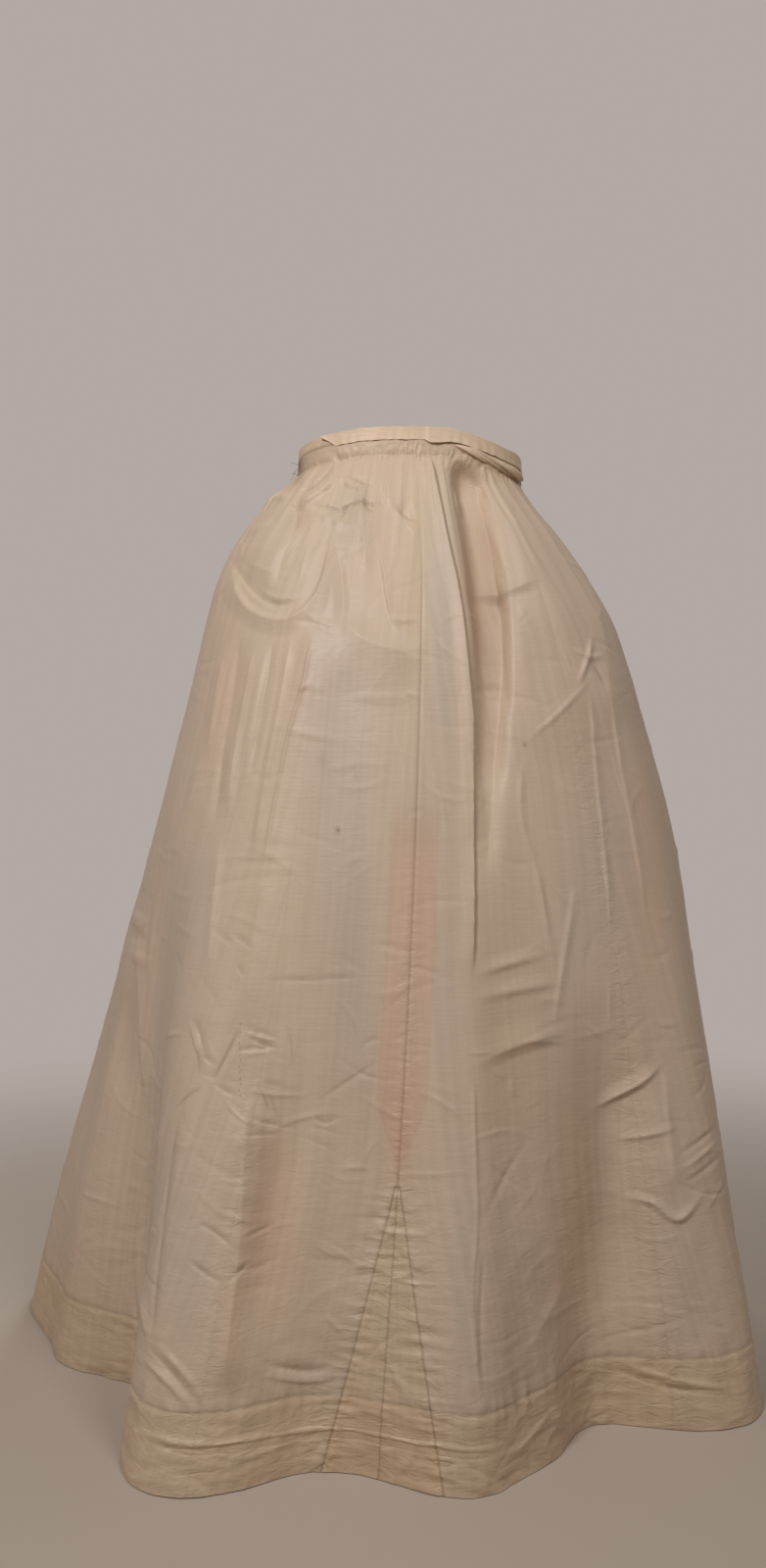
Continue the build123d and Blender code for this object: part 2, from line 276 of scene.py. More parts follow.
# Listed creases. Each is a sharp bend in the cloth along a line of the picture: its height in mm, below zero
# for a hollow, then how many pixels it takes to fade on the right and on the left hand of the line's way.
creases = [
    # swag on the right hip: a rim that curves up at both ends, and the hollow behind it
    (2.6, 5, 18, [(341, 540), (336, 570), (329, 597), (317, 617), (301, 630), (287, 633), (270, 630), (253, 621),
                  (242, 603), (235, 572)]),
    (-2.4, 22, 4, [(291, 621), (277, 617), (262, 606), (250, 594), (235, 568)]),
    (1.0, 3, 6, [(310, 602), (292, 612), (274, 607), (262, 597)]),
    (-0.8, 3, 4, [(302, 614), (284, 617), (270, 611)]),
    (-3.1, 4, 14, [(288, 506), (304, 517), (306, 530), (297, 552)]),
    (2.7, 4, 14, [(258, 527), (272, 514), (288, 506), (300, 514)]),
    (1.5, 5, 9, [(252, 548), (268, 538), (284, 536)]),
    (-1.4, 12, 10, [(300, 548), (286, 572), (282, 600)]),
    (1.4, 12, 10, [(322, 540), (312, 570), (304, 596)]),
    (2.5, 14, 4, [(351, 484), (338, 495), (311, 514), (296, 522)]),
    (-2.2, 3, 8, [(342, 472), (326, 492), (300, 506)]),
    (1.5, 3, 9, [(344, 486), (358, 497), (378, 503)]),
    (-1.4, 3, 9, [(352, 483), (366, 492), (382, 497)]),
    (-2.0, 9, 3, [(306, 511), (330, 517), (347, 521), (360, 514), (378, 515), (404, 513)]),
    (1.7, 10, 3, [(317, 519), (335, 527), (354, 535), (368, 537)]),
    (-1.4, 3, 8, [(345, 512), (353, 522), (347, 530)]),
    (-1.4, 3, 8, [(370, 510), (377, 520), (383, 524)]),
    (-2.7, 16, 3, [(430, 533), (415, 528), (400, 513)]),
    (1.4, 4, 8, [(384, 540), (392, 584), (396, 615), (408, 655)]),
    (0.8, 5, 6, [(428, 632), (410, 633), (392, 631)]),
    (2.2, 16, 9, [(366, 470), (368, 500), (372, 540), (374, 590)]),
    (1.9, 9, 16, [(392, 470), (396, 500), (402, 530)]),
    (-1.7, 10, 8, [(340, 546), (352, 600), (346, 660)]),
    # sheen where the cloth turns under across the front
    (4.6, 22, 60, [(436, 673), (410, 666), (385, 659), (362, 648), (344, 622)]),
    # pressed lines down the right front
    (2.0, 20, 60, [(324, 625), (315, 673), (311, 700), (299, 735), (287, 790), (278, 840), (270, 890), (260, 960),
                   (254, 1010), (250, 1050)]),
    (0.8, 3, 4, [(322, 645), (315, 673), (311, 700), (299, 735), (287, 790), (278, 840), (270, 890)]),
    (1.6, 12, 7, [(262, 648), (252, 700), (240, 770), (232, 840)]),
    (-1.6, 7, 10, [(246, 640), (238, 700), (226, 770), (217, 850)]),
    (1.4, 9, 6, [(232, 650), (222, 710), (211, 780)]),
    (1.2, 6, 10, [(298, 645), (286, 720), (270, 800), (258, 880)]),
    (-1.4, 6, 8, [(280, 645), (268, 720), (254, 800)]),
    (1.4, 10, 8, [(226, 850), (218, 930), (212, 1000)]),
    (1.6, 4, 20, [(141, 930), (142, 1010), (145, 1080), (154, 1140)]),
    (1.0, 4, 8, [(160, 890), (155, 960), (152, 1030)]),
    (0.8, 3, 4, [(305, 708), (311, 702), (320, 699)]),
    (1.1, 5, 16, [(205, 770), (197, 807), (183, 842), (172, 890)]),
    (0.6, 4, 6, [(398, 655), (407, 690), (415, 712), (424, 745)]),
    (0.7, 3, 5, [(433, 767), (444, 795), (451, 812), (458, 870)]),
    (0.6, 4, 4, [(411, 706), (422, 709), (428, 712)]),
    # inverted pleat beside the front seam: a crisp edge, then a floor that falls away to its far side
    (3.0, 14, 4, [(431, 430), (444, 490), (456, 550), (468, 600), (474, 647), (478, 693), (482, 740), (482, 807),
                  (483, 900), (482, 1000)]),
    (-6.5, 40, 32, [(474, 430), (486, 500), (496, 545), (506, 605), (510, 640)]),
    (-3.0, 32, 14, [(502, 580), (507, 610), (511, 657), (511, 700), (508, 745)]),
    (-2.5, 32, 14, [(502, 580), (507, 610), (511, 657), (511, 700), (507, 750), (502, 820)]),
    (-2.5, 30, 16, [(502, 580), (507, 610), (511, 657), (511, 700), (507, 750), (502, 820), (497, 900)]),
    (0.5, 3, 3, [(508, 620), (511, 660), (512, 707), (508, 767), (503, 800)]),
    (2.4, 26, 9, [(552, 590), (530, 599), (505, 604), (478, 606)]),
    (1.0, 3, 4, [(483, 1090), (485, 1180), (487, 1250), (481, 1312), (485, 1380), (490, 1440)]),
    (-0.8, 3, 4, [(493, 1270), (489, 1340), (491, 1400), (496, 1440)]),
    # left hip and the crossing creases below it
    (1.6, 20, 46, [(578, 548), (592, 578), (607, 613), (616, 653), (620, 690), (625, 745)]),
    (1.8, 54, 70, [(612, 682), (593, 703), (577, 720), (560, 737), (543, 750), (528, 770)]),
    (1.0, 3, 4, [(606, 690), (593, 703), (577, 720), (560, 737), (543, 750), (535, 760)]),
    (1.7, 4, 5, [(604, 645), (600, 673), (588, 702)]),
    (-1.5, 5, 4, [(600, 673), (612, 688), (619, 706)]),
    (1.3, 4, 4, [(584, 660), (600, 673), (618, 668)]),
    (0.8, 3, 8, [(600, 696), (607, 773), (617, 873), (623, 965)]),
    (0.8, 3, 8, [(620, 700), (633, 780), (650, 873), (660, 940)]),
    (0.8, 5, 7, [(535, 768), (528, 830), (546, 880), (558, 955), (571, 1006)]),
    (1.3, 5, 9, [(588, 896), (579, 955), (571, 1005), (565, 1052)]),
    (1.0, 4, 6, [(546, 880), (554, 920), (562, 965)]),
    (1.6, 14, 6, [(562, 973), (525, 982), (483, 996)]),
    (1.5, 14, 7, [(578, 1001), (525, 1011), (480, 1020)]),
    (2.6, 26, 12, [(584, 1050), (571, 1055), (542, 1061), (512, 1072), (482, 1090)]),
    (0.5, 1.8, 7, [(621, 996), (623, 1054)]),
    (2.2, 12, 6, [(680, 1080), (658, 1103), (633, 1122), (604, 1137)]),
    (0.6, 1.8, 7, [(676, 1083), (656, 1105), (633, 1121), (610, 1133)]),
    (1.5, 8, 5, [(692, 1148), (671, 1157), (632, 1168)]),
    (1.0, 5, 10, [(678, 1080), (681, 1147), (688, 1214)]),
    (-1.0, 4, 5, [(732, 1148), (714, 1164), (690, 1178)]),
    (1.1, 4, 5, [(735, 1160), (714, 1180), (692, 1195)]),
    (-1.0, 4, 5, [(737, 1176), (718, 1194), (697, 1207)]),
    (2.4, 9, 6, [(722, 1212), (697, 1246), (683, 1243), (668, 1226), (634, 1226)]),
    (1.2, 9, 14, [(576, 1303), (558, 1338), (538, 1380)]),
    # doubled edge and wrinkles low on the right
    (1.6, 5, 6, [(176, 1128), (155, 1184), (143, 1240), (141, 1280), (146, 1335), (154, 1380)]),
    (-1.2, 4, 7, [(183, 1140), (174, 1190), (167, 1245), (160, 1320), (155, 1376)]),
    (5.0, 26, 54, [(256, 1120), (250, 1160), (248, 1213), (244, 1276), (236, 1338), (226, 1424)]),
    (-0.9, 1.8, 7, [(195, 1034), (203, 1052), (208, 1072), (216, 1092)]),
    (0.7, 1.8, 7, [(192, 1040), (199, 1062), (205, 1086)]),
    (-0.9, 1.8, 7, [(199, 1066), (204, 1084), (201, 1104)]),
    (-0.8, 1.8, 7, [(205, 1078), (222, 1088)]),
    (-0.7, 1.8, 7, [(203, 1094), (222, 1102)]),
    (-1.1, 1.8, 7, [(246, 1046), (232, 1076), (216, 1106)]),
    (0.6, 1.8, 7, [(250, 1048), (237, 1078), (224, 1104)]),
    (-0.9, 1.8, 7, [(244, 1046), (262, 1054), (290, 1062)]),
    (0.7, 1.8, 7, [(248, 1053), (264, 1060), (286, 1063)]),
    (-0.8, 1.8, 7, [(252, 1060), (268, 1066), (286, 1071)]),
    (-0.9, 1.8, 7, [(238, 1074), (258, 1070), (284, 1070)]),
    (0.6, 1.8, 7, [(246, 1078), (264, 1075), (280, 1076)]),
    (-1.2, 1.8, 7, [(216, 1104), (232, 1115), (243, 1121)]),
    (-1.2, 1.8, 7, [(231, 1118), (242, 1132), (257, 1142), (280, 1149), (306, 1154)]),
    (1.0, 1.8, 7, [(226, 1118), (240, 1138), (256, 1147), (282, 1156)]),
    (-0.9, 1.8, 7, [(246, 1138), (262, 1149), (284, 1153)]),
    (-1.0, 1.8, 7, [(243, 1159), (262, 1158), (284, 1158)]),
    (-0.8, 1.8, 7, [(276, 1140), (270, 1120), (264, 1110)]),
    (-0.7, 1.8, 7, [(284, 1146), (279, 1126), (275, 1114)]),
    (-0.9, 1.8, 7, [(236, 952), (250, 962), (262, 970)]),
    (-0.6, 1.8, 7, [(214, 942), (226, 956), (240, 966)]),
    (-0.8, 1.8, 7, [(242, 986), (250, 996)]),
    (-0.7, 3, 3, [(262, 1000), (300, 1000), (380, 996)]),
    (-0.7, 1.8, 7, [(268, 1104), (290, 1110)]),
    (-0.6, 1.8, 7, [(292, 1046), (300, 1070), (296, 1096)]),
    (0.5, 1.8, 7, [(305, 1036), (303, 1060), (297, 1090)]),
    (-0.6, 1.8, 7, [(210, 1106), (190, 1120), (176, 1136)]),
    (0.6, 1.8, 7, [(166, 1060), (180, 1056), (192, 1056)]),
    (-0.5, 1.8, 7, [(300, 1158), (324, 1166), (346, 1178)]),
    (-0.4, 1.8, 7, [(306, 1150), (330, 1152), (352, 1160)]),
    (-1.2, 4, 5, [(200, 1246), (222, 1258), (240, 1274)]),
    (-1.2, 4, 5, [(192, 1284), (210, 1300), (230, 1310)]),
    (-0.9, 4, 4, [(246, 1264), (284, 1249)]),
    (-0.9, 4, 4, [(230, 1308), (257, 1286)]),
    (1.6, 5, 6, [(156, 1366), (190, 1402), (212, 1434)]),
    (-1.4, 5, 5, [(150, 1372), (182, 1408), (204, 1438)]),
    (1.4, 5, 5, [(141, 1380), (174, 1412), (198, 1440)]),
    (0.9, 6, 6, [(330, 1340), (344, 1352), (352, 1362)]),
    # about the hem
    (-1.6, 8, 5, [(348, 1394), (318, 1401), (290, 1397), (262, 1390)]),
    (1.4, 5, 8, [(262, 1402), (290, 1407), (318, 1410), (352, 1403)]),
    (-1.3, 4, 5, [(134, 1464), (165, 1476), (195, 1484), (270, 1472), (332, 1463), (378, 1467), (437, 1482),
                  (490, 1488), (520, 1480)]),
    (1.4, 6, 4, [(138, 1458), (195, 1477), (270, 1464), (332, 1455), (378, 1459), (437, 1474), (486, 1480),
                 (520, 1472)]),
    (-1.4, 4, 5, [(622, 1394), (660, 1409), (692, 1417), (752, 1424)]),
    (1.3, 6, 4, [(628, 1388), (671, 1402), (708, 1411), (754, 1417)]),
]
creaseLook = {
    "depth": 1.6,      # all of them together
    "tone": 0.24,      # painted shade: how dark the cloth is made along a sharp hollow
    "sharp": 4,        # pixels of fade up to which a crease counts as sharp
    "ends": 45,        # pixels over which a crease runs out at its ends
    "swellEnds": 200,  # and a swell
    "bend": 1.4,       # above 1, the sides curve in towards the crease
    "waver": 22,       # pixels along a crease over which its height wavers
}
# Soft swells and hollows: height in mm, width in pixels, and the line
swells = [
    (3.0, 26, [(262, 540), (280, 568), (298, 580)]),
    (2.6, 16, [(506, 520), (530, 562), (560, 606), (587, 645), (600, 678)]),
    (1.6, 7, [(272, 655), (262, 720), (246, 800)]),
    (-1.5, 6, [(258, 650), (247, 705), (232, 775)]),
    (-2.0, 20, [(368, 560), (352, 700), (334, 850), (322, 980)]),
    (-17.0, 34, [(600, 1000), (618, 1080), (632, 1160), (632, 1260), (616, 1400)]),
    (3.0, 22, [(660, 1090), (676, 1160), (680, 1240)]),
    (-3.0, 22, [(640, 1240), (660, 1300), (664, 1350)]),
    (-10.0, 28, [(304, 1070), (290, 1160), (276, 1240), (266, 1320), (254, 1420)]),
    (-6.0, 12, [(128, 985), (127, 1060), (126, 1140)]),
    (2.6, 24, [(352, 1290), (345, 1350), (338, 1392)]),
    (1.2, 9, [(280, 1386), (305, 1382), (330, 1384)]),
    (2.0, 10, [(137, 884), (134, 905)]), (-1.8, 8, [(141, 902), (134, 918)]), (2.0, 10, [(143, 930), (134, 944)]),
    (-1.8, 8, [(146, 950), (136, 962)]), (1.8, 10, [(146, 970), (138, 984)]),
]


def smoothLine(points):
    # Rounds the corners of a given line
    line = np.array(points, float)
    for _ in range(2):
        cut = [line[0]]
        for a, b in zip(line, line[1:]):
            cut += [a * 0.75 + b * 0.25, a * 0.25 + b * 0.75]
        line = np.array(cut + [line[-1]])
    return line


def fromLine(here, line, longest):
    # Distance to a line, the side of it, and the place along it
    best = np.full(len(here), 1e9)
    side, along = np.zeros(len(here)), np.zeros(len(here))
    lengths = np.linalg.norm(np.diff(line, axis=0), axis=1)
    starts = np.concatenate([[0], np.cumsum(lengths)])
    for i, (a, b) in enumerate(zip(line, line[1:])):
        way = b - a
        t = np.clip(((here - a) @ way) / (way @ way), 0, 1)
        gap = here - (a + t[:, None] * way)
        away = np.hypot(gap[:, 0], gap[:, 1])
        closer = away < best
        best = np.where(closer, away, best)
        side = np.where(closer, np.sign(way[0] * (here[:, 1] - a[1]) - way[1] * (here[:, 0] - a[0])), side)
        along = np.where(closer, starts[i] + t * lengths[i], along)
    fade = min(0.4 * starts[-1], longest)
    return best, side, along, smoothStep(-1, fade, along) * smoothStep(-1, fade, starts[-1] - along)


def nearLine(spot, line, room):
    return np.flatnonzero(np.all((spot > line.min(axis=0) - room) & (spot < line.max(axis=0) + room), axis=1))


def creaseRelief(across, down):
    # Height of the placed creases in mm, and the painted shade along the sharp hollows
    total, hollowShade = np.zeros(len(across)), np.zeros(len(across))
    spot = np.stack([across, down], axis=1)
    for order, (height, right, left, points) in enumerate(creases):
        line = smoothLine(points)
        near = nearLine(spot, line, max(right, left) + 4)
        if not len(near):
            continue
        best, side, along, taper = fromLine(spot[near], line, creaseLook["ends"])
        places = np.stack([along / creaseLook["waver"], np.full(len(near), order * 3.7), best / 40], axis=1)
        waver = 0.9 + 0.4 * min(1, 0.8 / abs(height)) * gradientNoise(places, 81)
        tent = np.clip(1 - best / np.where(side > 0, right, left), 0, 1) ** creaseLook["bend"]
        total[near] += creaseLook["depth"] * height * taper * waver * tent
        if min(right, left) <= creaseLook["sharp"]:
            # painted shade: the sharp hollows are darkened as shadow would darken them
            hollowDark = taper * np.exp(-(best / 1.4) ** 2) * min(1, abs(height) / 0.9) * (height < 0)
            hollowShade[near] = np.maximum(hollowShade[near], hollowDark)
    for height, width, points in swells:
        line = smoothLine(points)
        near = nearLine(spot, line, 3 * width)
        if len(near):
            best, _, _, taper = fromLine(spot[near], line, creaseLook["swellEnds"])
            total[near] += height * taper * np.exp(-(best / width) ** 2)
    return total, hollowShade


# Small pressed creases scattered over the cloth, mostly lying across it; sizes in mm
wrinkles = {"count": 900, "long": (18, 85), "high": (0.2, 1.05), "wide": (2.4, 7.0), "seed": 5}
dice = np.random.default_rng(wrinkles["seed"])
wrinkleRows = []
for _ in range(wrinkles["count"]):
    lean = dice.normal(0, 22) if dice.random() < 0.75 else dice.uniform(30, 150)
    wrinkleRows.append((dice.uniform(-180, 180), shell["drop"] * (1 - 0.93 * dice.random() ** 1.6), math.radians(lean),
                        dice.uniform(*wrinkles["long"]), dice.uniform(*wrinkles["high"]) * dice.choice([-1, 1]),
                        dice.uniform(*wrinkles["wide"]), dice.uniform(*wrinkles["wide"]), dice.normal(0, 0.12)))


def wrinkleRelief(angle, drop, reach):
    total = np.zeros(len(angle))
    middle = angle.mean()
    spread = np.ptp(angle) / 2
    for turn, fall, lean, long, high, above, below, bow in wrinkleRows:
        if abs(wrapTurn(turn - middle)) > spread + 25:
            continue
        near = np.flatnonzero(np.abs(drop - fall) * 1000 < long)
        gap = wrapTurn(angle[near] - turn)
        across = np.radians(gap) * reach[near] * 1000
        close = np.abs(across) < long
        near, across = near[close], across[close]
        if not len(near):
            continue
        down = (drop[near] - fall) * 1000
        along = (across * math.cos(lean) + down * math.sin(lean)) / long * 2
        away = down * math.cos(lean) - across * math.sin(lean) - bow * long * along ** 2
        tent = np.clip(1 - np.abs(away) / np.where(away > 0, below, above), 0, 1) ** creaseLook["bend"]
        total[near] += high * np.clip(1 - along ** 2, 0, 1) ** 1.5 * tent
    return total


# Relief that covers the whole skirt, in mm
relief = {
    "gatherFront": 0.8, "gatherBack": 3.0,    # folds under the waistband
    "wave": 1.4, "waveSize": 0.085,           # long soft waves down the cloth
    "facet": 1.5, "facetSize": 0.13,          # wide flat planes that meet at soft edges
    "crumple": 0.3, "crumpleSize": 0.05,      # crisp small creases
    "neck": 0.9, "bunches": [(-44, 10, 1.0), (2, 7, 1.0), (28, 12, 0.6)],  # degrees round the waist, spread, extra
    "hemGroove": 0.5, "hemPucker": 0.9, "bandCrumple": 0.8,
}


def seamRelief(angle, drop, reach):
    total = np.zeros(len(angle))
    for order, (name, look) in enumerate(seamLook.items()):
        line = np.interp(drop, fineRows, seams[name])
        gap = wrapTurn(angle - line)
        away = np.abs(np.radians(gap)) * reach * 1000
        live = np.ones(len(drop))
        if name.startswith("gusset"):
            live = smoothStep(tipDrop - 0.004, tipDrop + 0.01, drop)
        total -= live * look["groove"] * np.exp(-(away / look["width"]) ** 2)
        total += live * look["groove"] * 0.5 * np.exp(-((away - 2.6 * look["width"]) / (1.2 * look["width"])) ** 2)
        steps = np.stack([drop * 1000 / look["pitch"], np.full(len(drop), 7.3 * order),
                          away / 40 * np.sign(gap)], axis=1)
        ripple = 0.9 - 2.6 * np.abs(gradientNoise(steps, 40 + order))
        strength = smoothStep(look["from"], look["from"] + 0.12, drop)
        total += live * strength * look["pucker"] * ripple * np.exp(-(away / look["reach"]) ** 1.4)
    return total


def clothAt(angle, drop):
    # Point, outward direction and picture place of the finished cloth
    point = formAt(angle, drop)
    reach = np.hypot(point[:, 0], point[:, 1])
    across = formAt(angle + 0.35, drop) - formAt(angle - 0.35, drop)
    lower, upper = np.minimum(drop + 0.003, shell["drop"]), np.maximum(drop - 0.003, -shell["overlap"])
    fall = formAt(angle, lower) - formAt(angle, upper)
    normal = np.cross(fall, across)
    normal /= np.linalg.norm(normal, axis=1)[:, None]
    toEye = np.array(picture["place"]) - point
    toEye /= np.linalg.norm(toEye, axis=1)[:, None]
    seenSide = np.abs(wrapTurn(angle)) < 112  # degrees to either side that the picture shows
    facing = smoothStep(0.0, 0.16, np.einsum("ij,ij->i", normal, toEye)) * seenSide
    px, py = toPixels(point)

    free = smoothStep(0.0, 0.03, drop)
    backward = smoothStep(60, 130, np.abs(wrapTurn(angle)))
    turn = np.radians(angle)
    ring = np.stack([np.sin(turn), -np.cos(turn), drop * 2.2], axis=1)
    gather = gradientNoise(ring * np.array([13, 13, 1]), 3) + 0.6 * gradientNoise(ring * np.array([26, 26, 1.4]), 4)
    depth = relief["gatherFront"] * (1 - backward) + relief["gatherBack"] * backward
    runOut = 1 - smoothStep(0.03 + 0.1 * backward, 0.16 + 0.3 * backward, drop)
    height = depth * gather * smoothStep(-0.012, 0.012, drop) * runOut

    # puckers where the cloth is sewn to the band
    bunched = 0.55 * np.ones(len(angle))
    for middle, spread, much in relief["bunches"]:
        bunched += much * np.exp(-(wrapTurn(angle - middle) / spread) ** 2)
    pinch = 0.7 - 2.3 * np.abs(gradientNoise(ring * np.array([15, 15, 9]) + ring[:, [2]] * 14, 6))
    height += (relief["neck"] * bunched * pinch * np.exp(-((drop + 0.001) / 0.012) ** 2)
               * smoothStep(-0.0165, -0.009, drop))

    calm = 1 - 0.5 * facing * (1 - smoothStep(0.35, 0.7, drop))
    height += relief["wave"] * gradientNoise(point * np.array([1, 1, 0.2]) / relief["waveSize"], 11) * free * calm
    planes = crumpled(point * np.array([1, 1, 0.45]), relief["facetSize"], 15)
    height += relief["facet"] * planes * smoothStep(0.06, 0.3, drop) * calm

    # crisp creases, thicker in a few places
    busy = 0.5 + 0.7 * np.exp(-((px - 250) / 70) ** 2 - ((py - 1100) / 80) ** 2) * facing
    busy += 0.8 * np.exp(-((px - 665) / 70) ** 2 - ((py - 1180) / 110) ** 2) * facing
    busy += 0.7 * smoothStep(0.55, 0.9, drop)
    crisped = crumpled(point * np.array([1, 1, 1.4]), relief["crumpleSize"], 21)
    height += relief["crumple"] * busy * crisped * free * calm

    # turned-up hem, sewn along its top
    above = hemGap(point, drop)
    height -= relief["hemGroove"] * np.exp(-(above / 2.6) ** 2)
    height += 0.3 * np.exp(-((above - 5) / 3.5) ** 2)
    pull = 0.8 - 2.2 * np.abs(gradientNoise(point * np.array([1, 1, 0.25]) / 0.013, 32))
    height += relief["hemPucker"] * pull * np.exp(-(np.abs(above) / 15) ** 1.5)
    inBand = smoothStep(-4, 6, above)
    height += relief["bandCrumple"] * inBand * crumpled(point * np.array([0.6, 0.6, 1.7]), 0.04, 33)

    height += seamRelief(angle, drop, reach) * free
    height += wrinkleRelief(angle, drop, reach) * free * (0.35 + 0.65 * calm)
    placed, hollowShade = creaseRelief(px, py)
    height += placed * facing * smoothStep(0.0, 0.02, drop)
    point = point + normal * (height / 1000)[:, None]
    point[:, 2] = np.maximum(point[:, 2], -shell["drop"])
    return point, normal, px, py, facing, hollowShade * facing


def hemGap(point, drop):
    # mm below the sewn line of the hem, which wanders a little
    return (drop - (shell["drop"] - shell["hemDepth"])) * 1000 + 2.2 * gradientNoise(point / 0.09, 31)


# Colour of the shot silk by place, with painted light on the left hip and painted shade in the pleat: centre and
# spread in pixels, then blush, sage and warm tan
tintsAndPaintedLight = [
    (375, 585, 40, 90, 0.25, 0.0, 0.0), (300, 690, 26, 90, 0.28, 0.0, 0.0), (230, 690, 22, 90, 0.25, 0.0, 0.0),
    # the first here: pink of the silk in the pleat, with its tan as painted shade
    (492, 580, 22, 100, 0.4, 0.0, 0.3), (540, 740, 34, 80, 0.2, 0.0, 0.0), (600, 740, 34, 70, 0.12, 0.0, 0.1),
    # painted light: the left hip made paler, as light from above falls on it
    (600, 620, 42, 70, -0.3, -0.35, -0.1),
    (362, 528, 20, 30, 0.0, 0.35, 0.0), (455, 680, 13, 150, 0.0, 0.45, 0.0), (425, 590, 12, 110, 0.0, 0.0, 0.4),
    (345, 860, 34, 170, 0.0, 0.35, 0.0), (360, 1030, 30, 110, 0.1, 0.35, 0.0), (455, 1030, 14, 150, 0.15, 0.45, 0.0),
    (520, 1090, 26, 80, 0.05, 0.0, 0.25), (600, 930, 26, 100, 0.0, 0.35, 0.0), (200, 960, 26, 110, 0.0, 0.3, 0.0),
    (277, 1260, 26, 90, 0.55, 0.0, 0.12), (475, 1300, 15, 150, 0.0, 0.4, 0.0), (330, 1300, 16, 110, 0.1, 0.15, 0.0),
    (190, 1300, 20, 90, 0.0, 0.35, 0.0), (232, 1360, 12, 80, 0.2, 0.0, 0.15), (650, 1270, 34, 110, 0.05, 0.3, 0.1),
    (705, 1320, 22, 80, 0.0, 0.35, 0.0), (590, 1240, 22, 130, 0.15, 0.0, 0.5), (660, 820, 20, 170, 0.2, 0.0, 0.25),
    (60, 1310, 40, 40, 0.3, 0.0, 0.3), (680, 1400, 70, 24, 0.3, 0.0, 0.1), (405, 1160, 22, 50, 0.4, 0.0, 0.1),
]
# Old marks, among them painted shade in the frayed opening at the waist, then painted shade in the pleat,
# in the low hollow and above the hem, which light alone leaves too pale: centre, spread and strength
stainsAndShade = [(345, 847, 2.4, 2.8, 0.6), (330, 778, 5, 13, 0.12), (363, 791, 2.5, 7, 0.16), (535, 760, 2, 2, 0.5),
         (303, 475, 6, 13, 1.0), (399, 1384, 12, 5, 0.12), (236, 1046, 10, 8, 0.1), (560, 1456, 20, 8, 0.15),
         (466, 530, 11, 50, 0.1), (488, 560, 18, 40, 0.14), (499, 640, 10, 45, 0.16),
         (500, 715, 8, 45, 0.14), (512, 604, 26, 6, 0.09),
         (594, 1160, 28, 150, 0.16), (318, 1402, 26, 7, 0.16)]
openSide = -88.0  # degrees round the waist
# How strongly each part of the cloth is coloured
toneLook = {
    "plainFront": 0.72,  # share of the chance colour that the placed tints take the place of
    "strip": 0.5,        # blush of the seam allowance that shows through at the front
    "gussetWarm": 0.34,
    "hemWarm": 0.4,
    "hemLine": 0.3,      # soil along the hem's stitching
    "hemEdge": 0.12,     # and along the bottom edge
    "opening": 0.75,     # painted shade: a dark line where the opening is, in place of a gap
}


